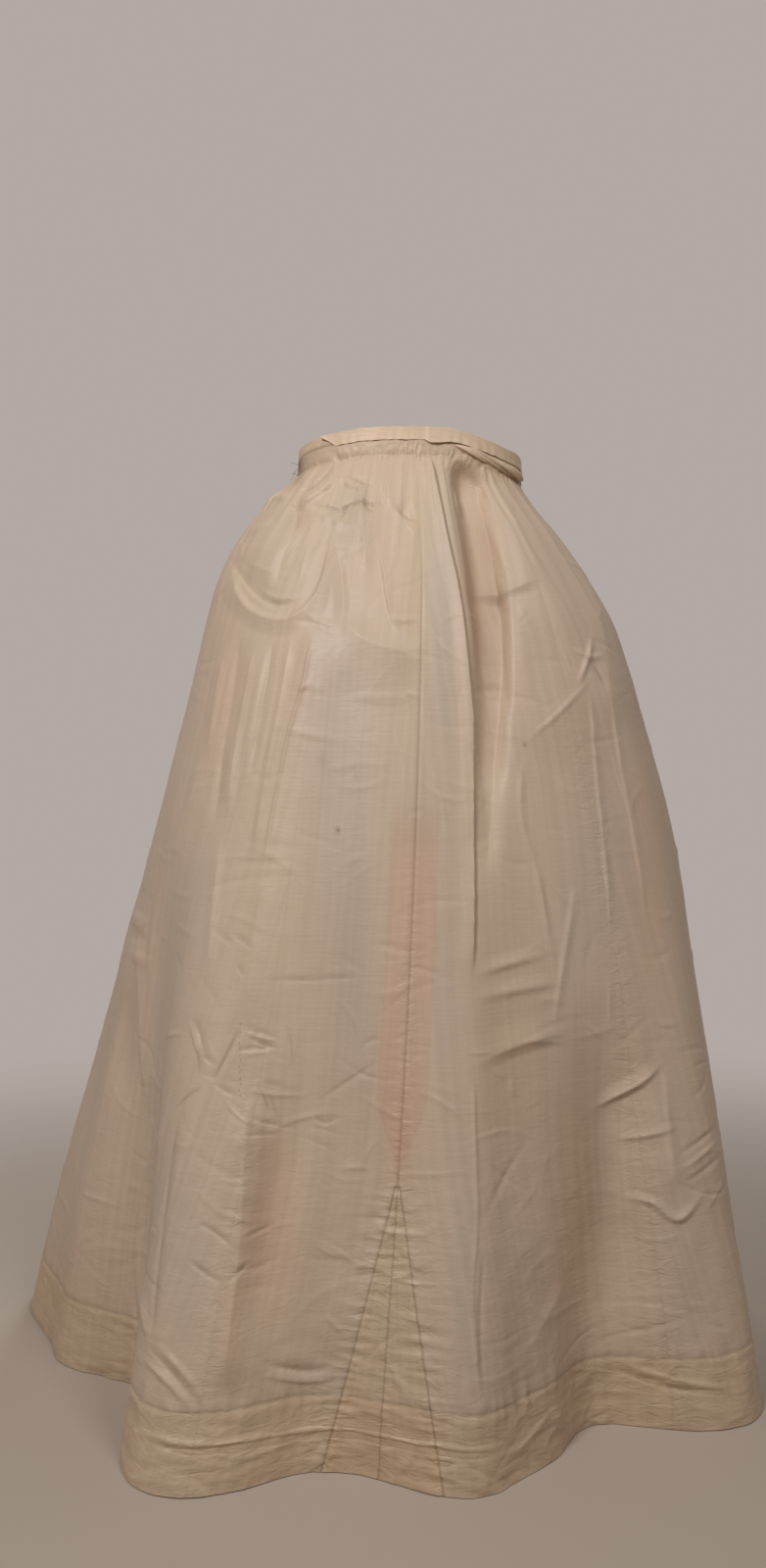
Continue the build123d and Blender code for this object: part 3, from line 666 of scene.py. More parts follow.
def clothTone(point, px, py, facing, drop, angle):
    # Blush, sage, tan, and soil with painted shade, then how crinkled the cloth is
    wide = point * np.array([1, 1, 0.1])
    blush = 0.06 + 0.42 * gradientNoise(wide / 0.05, 51)
    sage = 0.18 + 0.5 * gradientNoise(wide / 0.055 + 5.5, 52)
    warm = 0.14 + 0.3 * gradientNoise(wide / 0.09 + 9.1, 53)
    soilAndShade = np.clip(gradientNoise(point / 0.16, 54) - 0.3, 0, 1) * 0.14
    front = facing * toneLook["plainFront"]
    blush, sage, warm = blush * (1 - front), sage * (1 - front), warm * (1 - front)
    for cx, cy, sx, sy, b, s, w in tintsAndPaintedLight:
        near = np.exp(-((px - cx) / sx) ** 2 - ((py - cy) / sy) ** 2) * facing
        blush, sage, warm = blush + b * near, sage + 0.75 * s * near, warm + w * near
    reach = np.hypot(point[:, 0], point[:, 1])
    stitched = np.zeros(len(drop))
    crisp = 0.12 + 0.2 * smoothStep(0.45, 0.85, drop) + 0.25 * smoothStep(0.12, 0.0, drop)
    for name, look in seamLook.items():
        gap = wrapTurn(angle - np.interp(drop, fineRows, seams[name]))
        away = np.abs(np.radians(gap)) * reach * 1000
        live = smoothStep(look["from"] - 0.32, look["from"] - 0.2, drop)
        if name.startswith("gusset"):
            live = drop > tipDrop
        stitched = np.maximum(stitched, look["dark"] * live * smoothStep(1.3, 0.5, away))
        begun = smoothStep(look["from"], look["from"] + 0.15, drop)
        crisp = crisp + 0.5 * live * begun * np.exp(-(away / look["reach"]) ** 2)
        if name == "front":
            # seam allowance that shows through beside the seam: one edge is pinked, and it narrows to the gusset
            teeth = 0.9 * np.abs((drop * 1000 / 7) % 2 - 1) * (gap < 0)
            half = (21 + 2.4 * teeth) * (1 - smoothStep(tipDrop - 0.075, tipDrop, drop))
            under = smoothStep(half + 1.2, half - 1.2, away) * smoothStep(0.33, 0.4, drop) * (drop < tipDrop)
    soilAndShade = soilAndShade + stitched + 0.05 * under * (1 - under) * 4
    blush, sage, warm = blush + toneLook["strip"] * under, sage * (1 - 0.9 * under), warm + 0.1 * under
    # the gussets are cut from a warmer, plainer length
    fromRight = wrapTurn(angle - np.interp(drop, fineRows, seams["gussetRight"]))
    fromLeft = wrapTurn(angle - np.interp(drop, fineRows, seams["gussetLeft"]))
    let = (fromRight > 0) * (fromLeft < 0) * (drop > tipDrop)
    blush, sage, warm = blush * (1 - 0.8 * let), sage * (1 - 0.8 * let), warm + toneLook["gussetWarm"] * let
    above = hemGap(point, drop)
    hem = smoothStep(-1.5, 1.5, above)
    blush, warm, sage = blush * (1 - 0.75 * hem), warm + toneLook["hemWarm"] * hem, sage * (1 - 0.5 * hem)
    warm = warm + 0.25 * smoothStep(0.035, 0.0, drop)
    bottom = smoothStep(shell["drop"] - 0.010, shell["drop"], drop)
    soilAndShade = soilAndShade + toneLook["hemLine"] * np.exp(-(above / 1.3) ** 2) + toneLook["hemEdge"] * bottom
    crisp = crisp + 0.25 * hem
    # stitching of the waist, and painted shade for the opening at the right side
    soilAndShade = soilAndShade + 0.1 * np.exp(-((drop - 0.002) / 0.0009) ** 2)
    openingShade = np.exp(-wrapTurn(angle - openSide) ** 2 / 2.2)
    soilAndShade = soilAndShade + toneLook["opening"] * openingShade * smoothStep(0.05, 0.02, drop)
    # stains, and the painted shade listed with them
    for cx, cy, sx, sy, m in stainsAndShade:
        soilAndShade = soilAndShade + m * np.exp(-((px - cx) / sx) ** 2 - ((py - cy) / sy) ** 2) * facing
    return np.clip(np.stack([blush, sage, warm, soilAndShade], axis=1), 0, 1), np.clip(crisp, 0, 1)


def gridMesh(name, points, uv, tone, crisp):
    # A sheet of quads from rows and columns of points, faces outward
    count, width = points.shape[:2]
    mesh = bpy.data.meshes.new(name)
    index = np.arange(count * width).reshape(count, width)
    quads = np.stack([index[:-1, :-1], index[1:, :-1], index[1:, 1:], index[:-1, 1:]], axis=-1).reshape(-1, 4)
    mesh.vertices.add(count * width)
    mesh.vertices.foreach_set("co", points.reshape(-1))
    mesh.loops.add(len(quads) * 4)
    mesh.loops.foreach_set("vertex_index", quads.reshape(-1))
    mesh.polygons.add(len(quads))
    mesh.polygons.foreach_set("loop_start", np.arange(0, len(quads) * 4, 4))
    mesh.update(calc_edges=True)
    layer = mesh.uv_layers.new(name="cloth")
    layer.data.foreach_set("uv", uv.reshape(-1, 2)[quads.reshape(-1)].reshape(-1))
    shade = mesh.attributes.new("tone", "FLOAT_COLOR", "POINT")
    shade.data.foreach_set("color", tone.reshape(-1))
    crinkle = mesh.attributes.new("crisp", "FLOAT", "POINT")
    crinkle.data.foreach_set("value", crisp.reshape(-1))
    piece = bpy.data.objects.new(name, mesh)
    bpy.context.collection.objects.link(piece)
    selectOnly(piece)
    bpy.ops.object.shade_smooth_by_angle(angle=math.radians(60))
    return piece


def giveThickness(piece, thickness):
    solid = piece.modifiers.new("cloth thickness", "SOLIDIFY")
    solid.thickness = thickness
    solid.offset = -1
    selectOnly(piece)
    bpy.ops.object.modifier_apply(modifier=solid.name)
    bpy.ops.object.shade_smooth_by_angle(angle=math.radians(60))


# Panels of the skirt: columns of the mesh, how much closer they stand at one end and over what share of the width,
# then width, length and area of the flat cut with its hem
panels = {
    "right_front_gore": {"columns": 118, "close": (1.0, 0.0, 1.0), "flat": (0.17, 1.007), "area": 0.1142},
    "left_front_gore": {"columns": 180, "close": (1.0, 0.0, 1.0), "flat": (0.33, 1.007), "area": 0.2006},
    "left_side_gore": {"columns": 180, "close": (1.7, 0.0, 0.55), "flat": (0.45, 1.007), "area": 0.2929},
    "left_back_gore": {"columns": 92, "close": (1.0, 0.0, 1.0), "flat": (0.62, 1.007), "area": 0.4288},
    "right_back_gore": {"columns": 96, "close": (1.0, 0.0, 1.0), "flat": (0.66, 1.007), "area": 0.4509},
    "right_side_gore": {"columns": 184, "close": (2.2, 0.6, 1.0), "flat": (0.53, 1.007), "area": 0.3429},
    "right_gusset": {"columns": 30, "close": (1.0, 0.0, 1.0), "flat": (0.05, 0.297), "area": 0.0093},
    "left_gusset": {"columns": 30, "close": (1.0, 0.0, 1.0), "flat": (0.053, 0.297), "area": 0.01},
}
# Rows are the same for all, so that the panels meet at every stitch: drop, and metres from there to the next row
rowSteps = [(-1.0, 0.0015), (0.0, 0.0019), (0.2, 0.0023), (0.55, 0.0014), (0.74, 0.0018), (0.8, 0.0016)]
goreRows = [-shell["overlap"]]
while goreRows[-1] < shell["drop"] - 0.0012:
    goreRows.append(goreRows[-1] + [step for start, step in rowSteps if start <= goreRows[-1]][-1])
goreRows = np.array(goreRows[:-1] + [shell["drop"]])
# The cloth goes round the bottom edge and up inside as far as the hem's stitching
hemTurn = {"rows": 8, "gap": 0.0007}
sewnWidth = 0.0006  # narrow columns along each seam keep the sewn line thin
pieces = {}
places = {}
for name, cut in panels.items():
    low, high, top = edges[name]
    drops = goreRows
    if top:
        # a gusset starts at a point on the front seam
        tip = fineRows[fineRows < top][-1]
        drops = np.concatenate([[tip], goreRows[goreRows > tip + 0.0005]])
    turnedUp = np.linspace(shell["drop"], shell["drop"] - shell["hemDepth"], hemTurn["rows"])
    inside = np.concatenate([np.zeros(len(drops)), np.full(hemTurn["rows"], hemTurn["gap"])])
    drops = np.concatenate([drops, turnedUp])
    first, last = np.interp(drops, fineRows, low), np.interp(drops, fineRows, high)
    much, start, end = cut["close"]
    spread = np.linspace(0, 1, 400)
    crowd = np.cumsum(1 + (much - 1) * smoothStep(start - 0.1, start + 0.1, spread)
                      * smoothStep(end + 0.1, end - 0.1, spread))
    crowd = (crowd - crowd[0]) / (crowd[-1] - crowd[0])
    share = np.interp(np.linspace(0, 1, cut["columns"] + 1), crowd, spread)
    angle = first[:, None] + (last - first)[:, None] * share[None, :]
    outer = np.minimum(angle[:, 1] - angle[:, 0], angle[:, -1] - angle[:, -2])
    step = np.minimum(np.degrees(sewnWidth / reachAt(first, drops)), 0.3 * outer)[:, None]
    angle = np.concatenate([angle[:, :1], angle[:, :1] + step, angle[:, :1] + 2 * step, angle[:, 1:-1],
                            angle[:, -1:] - 2 * step, angle[:, -1:] - step, angle[:, -1:]], axis=1)
    drop = np.repeat(drops[:, None], angle.shape[1], axis=1)
    point, normal, px, py, facing, hollowShade = clothAt(angle.reshape(-1), drop.reshape(-1))
    tone, crisp = clothTone(point, px, py, facing, drop.reshape(-1), angle.reshape(-1))
    # painted shade along the sharp hollows goes into the soil colour
    tone[:, 3] = np.clip(tone[:, 3] + creaseLook["tone"] * hollowShade, 0, 1)
    grid = (point - normal * np.repeat(inside, angle.shape[1])[:, None]).reshape(angle.shape + (3,))
    steps = np.linalg.norm(np.diff(grid, axis=1), axis=2)
    u = np.concatenate([np.zeros((len(drops), 1)), np.cumsum(steps, axis=1)], axis=1)
    u = u - u[:, angle.shape[1] // 2][:, None]
    length = np.concatenate([[0], np.cumsum(np.abs(np.diff(drops)))])
    uv = np.stack([u, np.repeat(-(drops[0] + length)[:, None], angle.shape[1], axis=1)], axis=-1)
    piece = gridMesh(name + "_cloth", grid, uv, tone.reshape(angle.shape + (4,)), crisp)
    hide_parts(name)
    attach(piece, "root")
    pieces[name] = piece
    places[name] = (point, normal, px, py)
print("panels sewn", sum(len(p.data.polygons) for p in pieces.values()), "faces")

# Waistband: a heading strip with small puckers along it, open at the wearer's right
waistband = {"height": 0.028, "step": 0.7, "rows": 18, "pucker": 0.35, "flat": (0.028, 0.66),
             "thickness": 0.0014, "bunches": [(-44, 9, 1.5), (2, 5, 1.6), (28, 10, 0.7)]}


def stripGrid(start, end, step, low, high, count, lift):
    # A strip of cloth round the waist; lift gives its height off the band and its rise, in mm
    angle = np.linspace(start, end, int(abs(end - start) / step) + 1)
    levels = np.linspace(high, low, count)
    turnGrid = np.repeat(angle[None, :], count, axis=0)
    levelGrid = np.repeat(levels[:, None], len(angle), axis=1)
    reach = bandRadius(turnGrid.reshape(-1)).reshape(turnGrid.shape)
    out, rise = lift(turnGrid, levelGrid)
    reach = reach + out / 1000
    turn = np.radians(turnGrid)
    height = levelGrid + rise / 1000 - waistSag(turnGrid)
    grid = np.stack([reach * np.sin(turn), -reach * np.cos(turn), height], axis=-1)
    length = np.cumsum(np.concatenate([[0], np.linalg.norm(np.diff(grid[0], axis=0), axis=1)]))
    uv = np.stack([np.repeat(length[None, :], count, axis=0), levelGrid], axis=-1)
    return grid, uv, turnGrid, levelGrid


def ringNoise(turn, level, pitch, seed):
    spin = np.radians(turn)
    spots = np.stack([np.sin(spin) / pitch, np.cos(spin) / pitch, level * 60], axis=-1)
    return gradientNoise(spots.reshape(-1, 3), seed).reshape(turn.shape)


def bandLift(turn, level):
    strength = np.full(turn.shape, waistband["pucker"])
    for middle, spread, much in waistband["bunches"]:
        strength = strength + much * np.exp(-((turn - middle) / spread) ** 2)
    puckers = (0.8 - 2.4 * np.abs(ringNoise(turn, level, 0.05, 61))) * strength
    hollow = -0.8 * np.exp(-((level - 0.0145) / 0.002) ** 2)
    out = puckers * 0.4 + hollow - 0.2 - 1.6 * smoothStep(0.0195, 0.0165, level)
    return out, 0.5 * ringNoise(turn, level, 0.08, 62)


def stripTone(turn, level, seed, warm):
    patch = ringNoise(turn, level, 0.2, seed)
    tone = np.stack([0.2 + 0.3 * patch, np.zeros(turn.shape), warm + 0.2 * patch, 0.08 * np.abs(patch)], axis=-1)
    return np.clip(tone, 0, 1)


grid, uv, turn, level = stripGrid(openSide + 0.4, openSide + 359.6, waistband["step"],
                                  -0.001, waistband["height"], waistband["rows"], bandLift)
tone = stripTone(turn, level, 63, 0.35)
# darker at the band's end by the closing, and painted shadow under the tape's lower edge
tone[..., 3] += 0.9 * np.exp(-((turn - openSide) / 3) ** 2) + 0.2 * np.exp(-((level - 0.0147) / 0.0012) ** 2)
tone[..., 3] += 0.22 * np.exp(-((level - 0.0008) / 0.0009) ** 2)
band = gridMesh("waistband_cloth", grid, uv, np.clip(tone, 0, 1), np.full(turn.shape, 0.5))
giveThickness(band, waistband["thickness"])
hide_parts("waistband")
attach(band, "root")
pieces["waistband"] = band

# Tape along the top of the band; its lower edge stands off, and its front end is turned over
waistTape = {"low": 0.0152, "high": 0.0286, "start": -56.0, "end": 263.0, "step": 0.6, "rows": 10, "gap": 0.9,
             "thickness": 0.0006, "flat": (0.014, 0.60)}


def tapeLift(turn, level):
    share = (waistTape["high"] - level) / (waistTape["high"] - waistTape["low"])
    stand = waistTape["gap"] * share ** 2 + 2.2 * np.clip((waistTape["start"] + 9 - turn) / 9, 0, 1) ** 2
    step = 1.1 * smoothStep(9, 11.5, turn) * (1 - smoothStep(30, 60, turn))
    wave = 0.8 * ringNoise(turn, level * 0, 0.07, 71)
    slip = 2.6 * smoothStep(8, 12, turn) * (1 - smoothStep(13, 34, turn)) * share
    rise = 0.9 * ringNoise(turn, level * 0, 0.12, 72) - slip
    return 0.6 + stand + step + wave * share, rise


grid, uv, turn, level = stripGrid(waistTape["start"], waistTape["end"], waistTape["step"],
                                  waistTape["low"], waistTape["high"], waistTape["rows"], tapeLift)
# front end turned over into a point
corner = np.clip((waistTape["start"] + 9 - turn) / 9, 0, 1)
grid[..., 2] += corner * (waistTape["high"] - level) * 0.92
tape = gridMesh("waist_tape_cloth", grid, uv, stripTone(turn, level, 73, 0.4), np.full(turn.shape, 0.25))
giveThickness(tape, waistTape["thickness"])
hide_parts("waist_tape")
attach(tape, "root")
pieces["waist_tape"] = tape


def closeTube(piece):
    # Joins the long edges of a rolled sheet
    selectOnly(piece)
    bpy.ops.object.mode_set(mode="EDIT")
    bpy.ops.mesh.select_all(action="SELECT")
    bpy.ops.mesh.remove_doubles(threshold=0.00002)
    bpy.ops.mesh.normals_make_consistent(inside=False)
    bpy.ops.object.mode_set(mode="OBJECT")


# Heading cloth that has rolled over and twisted on itself at the wearer's left
roll = {"start": 27.0, "end": 88.0, "thick": 5.2, "twist": 5.0,
        "turns": [27, 40, 55, 70, 88], "rise": [13, 11, 7, 6, 9]}
t = np.linspace(0, 1, 120)[:, None]
lap = np.radians(np.linspace(0, 360, 33))[None, :]
turn = roll["start"] + (roll["end"] - roll["start"]) * t
fat = roll["thick"] * (np.sin(np.pi * np.clip(t, 0, 1)) ** 0.6) * (0.85 + 0.2 * np.sin(9 * t + 1)) / 1000
spin = lap + roll["twist"] * t
lobes = 1 + 0.2 * np.cos(2 * spin) + 0.1 * np.cos(5 * spin + 1)
rollOut = bandRadius(turn.reshape(-1))[:, None] + fat * 0.45 + 0.8 * fat * lobes * np.cos(lap)
rollRise = np.interp(turn, roll["turns"], roll["rise"]) / 1000 - waistSag(turn) + 1.15 * fat * lobes * np.sin(lap)
grid = np.stack([rollOut * np.sin(np.radians(turn)), -rollOut * np.cos(np.radians(turn)), rollRise], axis=-1)
uv = np.stack([lap * fat, 0.12 * t + 0 * lap], axis=-1)
tone = stripTone(turn + 0 * lap, 0 * lap + t * 0.02, 75, 0.4)
# painted shade in the pinched grooves of the twist
tone[..., 3] = np.clip(tone[..., 3] + 0.35 * smoothStep(0.9, 0.72, lobes), 0, 1)
rolled = gridMesh("waist_roll_cloth", grid, uv, tone, np.full(tone.shape[:2], 0.5))
closeTube(rolled)
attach(rolled, "root")
pieces["waist_roll"] = rolled

# Loose threads at the frayed end of the band, and a few tacking stitches low on the right front;
# real thread is too fine to show, so these are drawn coarser
thread = {"radius": 0.0003, "frayed": 11, "sides": 5, "seed": 9}


def threadTube(path):
    path = np.array(path)
    way = np.gradient(path, axis=0)
    way /= np.linalg.norm(way, axis=1)[:, None]
    side = np.cross(way, np.array([0.3, 0.2, 1.0]))
    side /= np.linalg.norm(side, axis=1)[:, None]
    other = np.cross(way, side)
    lap = np.radians(np.linspace(0, 360, thread["sides"] + 1))[None, :, None]
    return path[:, None] + thread["radius"] * (np.cos(lap) * side[:, None] + np.sin(lap) * other[:, None])


def threadPiece(name, tubes, soilAndShade):
    made = []
    for order, tube in enumerate(tubes):
        tone = np.zeros(tube.shape[:2] + (4,))
        tone[..., 2], tone[..., 3] = 0.5, soilAndShade
        flat = np.zeros(tube.shape[:2] + (2,))
        made.append(gridMesh(name + str(order), tube, flat, tone, np.zeros(tube.shape[:2])))
    bpy.ops.object.select_all(action="DESELECT")
    for piece in made:
        piece.select_set(True)
    bpy.context.view_layer.objects.active = made[0]
    bpy.ops.object.join()
    made[0].name = name
    closeTube(made[0])
    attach(made[0], "root")
    return made[0]


dice = np.random.default_rng(thread["seed"])
tubes = []
for _ in range(thread["frayed"]):
    turn, level = math.radians(dice.uniform(-96, -84)), dice.uniform(-0.010, 0.022)
    start = np.array([math.sin(turn), -math.cos(turn), 0]) * float(bandRadius(np.array([math.degrees(turn)]))[0])
    start[2] = level
    reach, droop, sway = dice.uniform(0.004, 0.011), dice.uniform(0.0, 0.012), dice.normal(0, 0.004)
    s = np.linspace(0, 1, 7)[:, None]
    tubes.append(threadTube(start + s * np.array([-reach, sway, 0.002]) + s ** 2 * np.array([0.002, 0.0, -droop])))
frayed = threadPiece("frayed_threads", tubes, 0.25)
pieces["frayed_threads"] = frayed

tackLine = {"across": 245, "down": (1046, 1122, 6)}  # pixels: the line, and its first, last and step
tubes = []
point, normal, px, py = places["right_side_gore"]
for down in range(*tackLine["down"]):
    near = np.argmin((px - tackLine["across"]) ** 2 + (py - down) ** 2)
    s = np.linspace(-1, 1, 5)[:, None]
    arch = normal[near] * 0.0004 * (1 - s ** 2) + np.array([0.0, 0.0, 0.0011]) * s
    tubes.append(threadTube(point[near] + normal[near] * 0.0001 + arch))
tacking = threadPiece("tacking_stitches", tubes, 0.0)
pieces["tacking_stitches"] = tacking
print("waistband, tape, roll and threads made")


def linear(hexColour):
    parts = [int(hexColour[i:i + 2], 16) / 255 for i in (1, 3, 5)]
    return tuple(p / 12.92 if p <= 0.04045 else ((p + 0.055) / 1.055) ** 2.4 for p in parts) + (1.0,)


def addNode(tree, kind, settings=None, links=None):
    # settings are the node's own, links its inputs: a value, or another node's output
    made = tree.nodes.new(kind)
    for key, value in (settings or {}).items():
        setattr(made, key, value)
    for key, value in (links or {}).items():
        if isinstance(value, bpy.types.NodeSocket):
            tree.links.new(value, made.inputs[key])
        else:
            made.inputs[key].default_value = value
    return made


def newMaterial(name):
    made = bpy.data.materials.new(name)
    made.use_nodes = True
    made.node_tree.nodes.clear()
    return made, made.node_tree


# Silk taffeta, plain woven with a stiff fine weft: crisp, with a dry low sheen and a faint rib across.
# Its warp and weft differ in colour, so it wavers between cream, blush and a greyed sage.
# the soil colour darkens stains, and also the painted shade in hollows, the pleat and the opening
taffeta = {"cream": "#d1b9a1", "blush": "#cea893", "sage": "#b3a997", "tan": "#ccae8b", "soilAndShade": "#5d4531",
           "ribMm": 2.4, "slubMm": 1.3, "crinkleMm": 8.5, "roughness": 0.47, "bump": 0.6, "streak": 0.065}


def taffetaMaterial(name, look):
    made, tree = newMaterial(name)
    tone = addNode(tree, "ShaderNodeAttribute", {"attribute_name": "tone"})
    split = addNode(tree, "ShaderNodeSeparateColor", None, {"Color": tone.outputs["Color"]})
    uv = addNode(tree, "ShaderNodeUVMap", {"uv_map": "cloth"})
    colour = linear(look["cream"])
    for share, shade in ((split.outputs["Red"], "blush"), (split.outputs["Green"], "sage"),
                         (split.outputs["Blue"], "tan"), (tone.outputs["Alpha"], "soilAndShade")):
        mixed = addNode(tree, "ShaderNodeMix", {"data_type": "RGBA"}, {0: share, 6: colour, 7: linear(look[shade])})
        colour = mixed.outputs[2]
    # warp streaks down the cloth and weft slubs across it; real threads are too fine to show, so these are coarser
    warpPlace = addNode(tree, "ShaderNodeMapping", None,
                        {"Vector": uv.outputs["UV"], "Scale": (1000 / 7, 1000 / 260, 1)})
    warp = addNode(tree, "ShaderNodeTexNoise", None, {"Vector": warpPlace.outputs[0], "Scale": 1.0, "Detail": 3.0})
    slubPlace = addNode(tree, "ShaderNodeMapping", None,
                        {"Vector": uv.outputs["UV"], "Scale": (1000 / 38, 1000 / look["slubMm"], 1)})
    slub = addNode(tree, "ShaderNodeTexNoise", None, {"Vector": slubPlace.outputs[0], "Scale": 1.0, "Detail": 2.0})
    both = addNode(tree, "ShaderNodeMath", {"operation": "MULTIPLY_ADD"},
                   {0: slub.outputs["Fac"], 1: 0.35, 2: warp.outputs["Fac"]})
    level = addNode(tree, "ShaderNodeMapRange", None,
                    {"Value": both.outputs[0], "From Min": 0.4, "From Max": 0.95,
                     "To Min": 1 - look["streak"], "To Max": 1 + look["streak"]})
    streaked = addNode(tree, "ShaderNodeMix", {"data_type": "RGBA", "blend_type": "MULTIPLY"},
                       {0: 1.0, 6: colour, 7: level.outputs[0]})
    rib = addNode(tree, "ShaderNodeTexWave", {"wave_type": "BANDS", "bands_direction": "Y"},
                  {"Vector": uv.outputs["UV"], "Scale": 1000 / look["ribMm"] / 20 * math.pi, "Distortion": 1.2,
                   "Detail": 2.0, "Detail Scale": 0.6})
    # fine crinkles across the cloth, strongest where it is sewn
    crisp = addNode(tree, "ShaderNodeAttribute", {"attribute_name": "crisp"})
    crinklePlace = addNode(tree, "ShaderNodeMapping", None,
                           {"Vector": uv.outputs["UV"], "Scale": (1000 / 22, 1000 / look["crinkleMm"], 1)})
    crinkle = addNode(tree, "ShaderNodeTexNoise", None,
                      {"Vector": crinklePlace.outputs[0], "Scale": 1.0, "Detail": 2.0, "Distortion": 0.8})
    centred = addNode(tree, "ShaderNodeMath", {"operation": "SUBTRACT"}, {0: crinkle.outputs["Fac"], 1: 0.5})
    ridge = addNode(tree, "ShaderNodeMath", {"operation": "ABSOLUTE"}, {0: centred.outputs[0]})
    crinkled = addNode(tree, "ShaderNodeMath", {"operation": "MULTIPLY"},
                       {0: ridge.outputs[0], 1: crisp.outputs["Fac"]})
    ribs = addNode(tree, "ShaderNodeMath", {"operation": "MULTIPLY_ADD"},
                   {0: rib.outputs["Fac"], 1: 0.25, 2: slub.outputs["Fac"]})
    height = addNode(tree, "ShaderNodeMath", {"operation": "MULTIPLY_ADD"},
                     {0: ribs.outputs[0], 1: -0.03, 2: crinkled.outputs[0]})
    bump = addNode(tree, "ShaderNodeBump", {"invert": True},
                   {"Height": height.outputs[0], "Strength": look["bump"], "Distance": 0.004})
    gloss = addNode(tree, "ShaderNodeMapRange", None,
                    {"Value": slub.outputs["Fac"], "From Min": 0.3, "From Max": 0.7,
                     "To Min": look["roughness"] - 0.05, "To Max": look["roughness"] + 0.07})
    shader = addNode(tree, "ShaderNodeBsdfPrincipled", None,
                     {"Base Color": streaked.outputs[2], "Roughness": gloss.outputs[0], "Normal": bump.outputs[0],
                      "Specular IOR Level": 0.4})
    addNode(tree, "ShaderNodeOutputMaterial", None, {"Surface": shader.outputs[0]})
    return made


silk = taffetaMaterial("shot silk taffeta", taffeta)
# Cotton-backed ribbon and heading, peachier and duller than the skirt
heading = taffetaMaterial("silk heading ribbon", dict(taffeta, cream="#e0c8ae", blush="#dcb9a0", tan="#dcbe9c",
                                                      roughness=0.5, streak=0.03))
for name, piece in pieces.items():
    piece.data.materials.clear()
    piece.data.materials.append(heading if name.startswith(("waist", "frayed", "tacking")) else silk)

# Brass wire hooks and eyes, once lacquered: dull yellow with brown in the pits
brass = {"clean": "#b99a5e", "dull": "#6d5734", "patchMm": 3.0, "roughness": 0.38}
metal, tree = newMaterial("lacquered brass wire")
place = addNode(tree, "ShaderNodeTexCoord")
patch = addNode(tree, "ShaderNodeTexNoise", None,
                {"Vector": place.outputs["Object"], "Scale": 1000 / brass["patchMm"], "Detail": 3.0})
colour = addNode(tree, "ShaderNodeMix", {"data_type": "RGBA"},
                 {0: patch.outputs["Fac"], 6: linear(brass["clean"]), 7: linear(brass["dull"])})
dullness = addNode(tree, "ShaderNodeMapRange", None,
                   {"Value": patch.outputs["Fac"], "To Min": brass["roughness"] - 0.1,
                    "To Max": brass["roughness"] + 0.2})
shader = addNode(tree, "ShaderNodeBsdfPrincipled", None,
                 {"Base Color": colour.outputs[2], "Metallic": 1.0, "Roughness": dullness.outputs[0]})
addNode(tree, "ShaderNodeOutputMaterial", None, {"Surface": shader.outputs[0]})
for name in ("waist_hooks", "waist_eyes"):
    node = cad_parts[name]
    node.data.materials.clear()
    node.data.materials.append(metal)
print("materials made")

# Plain floor that fades into the backdrop
room = {"floor": "#bfb0a2", "backdrop": "#b3a9a4", "size": 14.0, "fadeFrom": 0.55, "fadeTo": 1.5,
        "ambient": 0.18, "ambientColour": "#dcd8d4"}


def backdropRays(tree):
    # 1 for the rays that show the backdrop itself: from the eye, through clear pieces and off shiny ones
    rays = addNode(tree, "ShaderNodeLightPath")
    seen = addNode(tree, "ShaderNodeMath", {"operation": "MAXIMUM"},
                   {0: rays.outputs["Is Camera Ray"], 1: rays.outputs["Is Transmission Ray"]})
    return addNode(tree, "ShaderNodeMath", {"operation": "MAXIMUM"},
                   {0: seen.outputs[0], 1: rays.outputs["Is Glossy Ray"]})


bpy.ops.object.select_all(action="DESELECT")
bpy.ops.mesh.primitive_plane_add(size=room["size"], location=(0, 0, -shell["drop"] - 0.0006))
floor = bpy.context.object
floor.name = "floor"
paint, tree = newMaterial("painted floor")
matt = addNode(tree, "ShaderNodeBsdfPrincipled", None, {"Base Color": linear(room["floor"]), "Roughness": 0.85})
place = addNode(tree, "ShaderNodeTexCoord")
away = addNode(tree, "ShaderNodeVectorMath", {"operation": "LENGTH"}, {0: place.outputs["Object"]})
fade = addNode(tree, "ShaderNodeMapRange", {"interpolation_type": "SMOOTHSTEP"},
               {"Value": away.outputs["Value"], "From Min": room["fadeFrom"], "From Max": room["fadeTo"]})
seen = addNode(tree, "ShaderNodeMath", {"operation": "MULTIPLY"},
               {0: fade.outputs[0], 1: backdropRays(tree).outputs[0]})
glow = addNode(tree, "ShaderNodeEmission", None, {"Color": linear(room["backdrop"])})
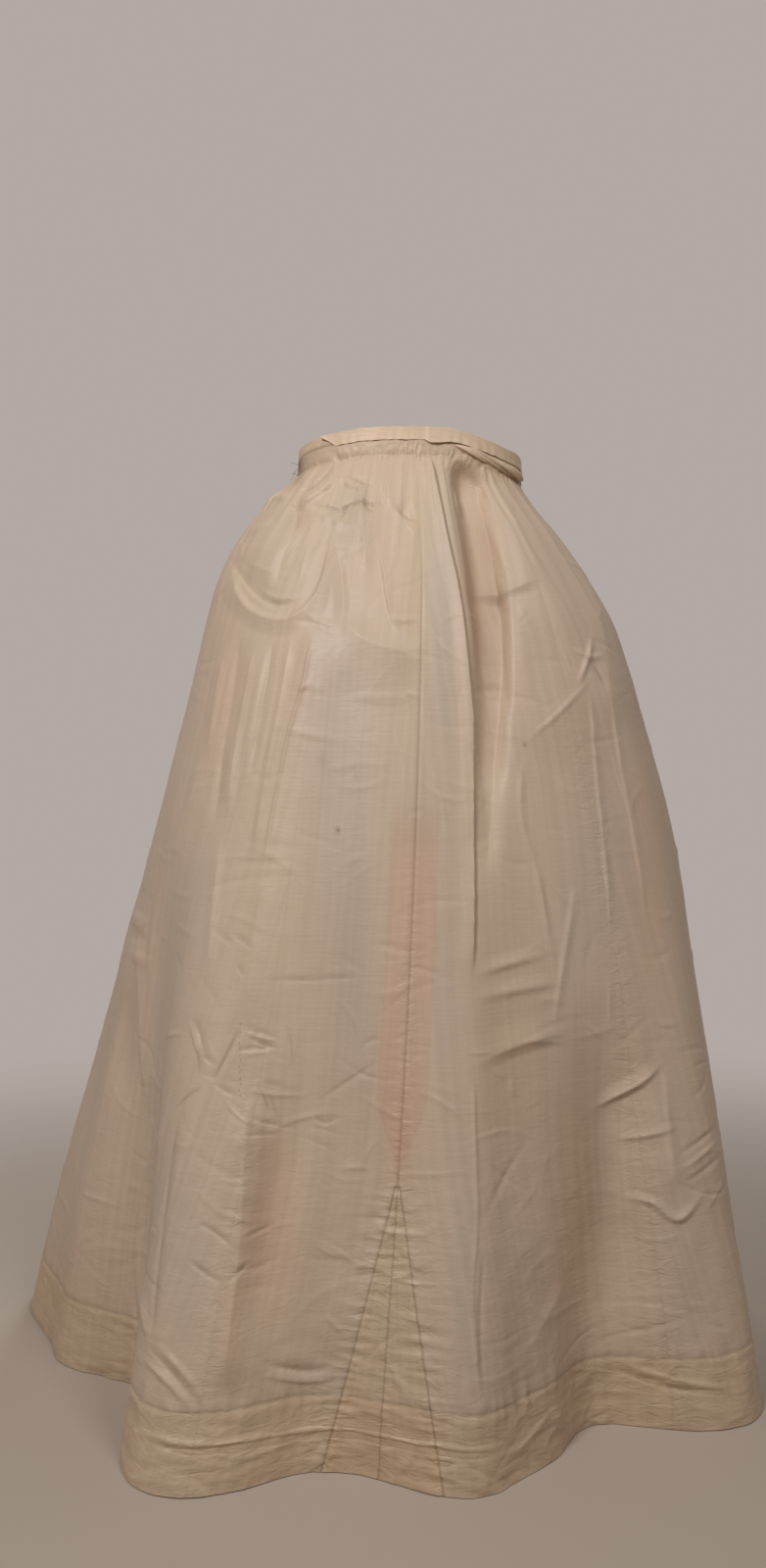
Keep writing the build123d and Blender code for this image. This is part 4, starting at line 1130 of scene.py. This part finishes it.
mixed = addNode(tree, "ShaderNodeMixShader", None, {0: seen.outputs[0], 1: matt.outputs[0], 2: glow.outputs[0]})
addNode(tree, "ShaderNodeOutputMaterial", None, {"Surface": mixed.outputs[0]})
floor.data.materials.append(paint)

# Soft lamps: the main one near and high in front, so the light falls off down the skirt
lamps = [
    {"name": "main lamp", "place": (-0.75, -1.3, 0.85), "aim": (0.0, 0.0, -0.3),
     "size": 0.45, "power": 17, "gloss": 0.9},
    {"name": "second lamp", "place": (0.7, -1.15, 1.2), "aim": (0.0, 0.0, -0.3),
     "size": 0.5, "power": 9, "gloss": 0.9},
    {"name": "back lamp", "place": (0.0, 2.5, -0.25), "aim": (0.0, 0.0, -0.45),
     "size": 1.2, "power": 34, "gloss": 0.0},
]
for lamp in lamps:
    light = bpy.data.lights.new(lamp["name"], "AREA")
    light.size = lamp["size"]
    light.energy = lamp["power"]
    light.specular_factor = lamp["gloss"]
    stand = bpy.data.objects.new(lamp["name"], light)
    stand.location = lamp["place"]
    stand.rotation_euler = (Vector(lamp["aim"]) - Vector(lamp["place"])).to_track_quat("-Z", "Y").to_euler()
    stand.visible_camera = False
    bpy.context.collection.objects.link(stand)
world = bpy.data.worlds.new("soft room light")
bpy.context.scene.world = world
world.use_nodes = True
tree = world.node_tree
tree.nodes.clear()
soft = addNode(tree, "ShaderNodeBackground", None,
               {"Color": linear(room["ambientColour"]), "Strength": room["ambient"]})
paper = addNode(tree, "ShaderNodeBackground", None, {"Color": linear(room["backdrop"])})
mixed = addNode(tree, "ShaderNodeMixShader", None,
                {0: backdropRays(tree).outputs[0], 1: soft.outputs[0], 2: paper.outputs[0]})
addNode(tree, "ShaderNodeOutputWorld", None, {"Surface": mixed.outputs[0]})

camera = bpy.data.cameras.new("camera")
camera.lens = picture["lens"]
camera.sensor_width = picture["sensor"]
eye = bpy.data.objects.new("camera", camera)
eye.location = picture["place"]
eye.rotation_euler = (math.pi / 2, 0, 0)
bpy.context.collection.objects.link(eye)
bpy.context.scene.camera = eye
bpy.context.scene.view_settings.view_transform = "Standard"
print("room, lamps and camera set")
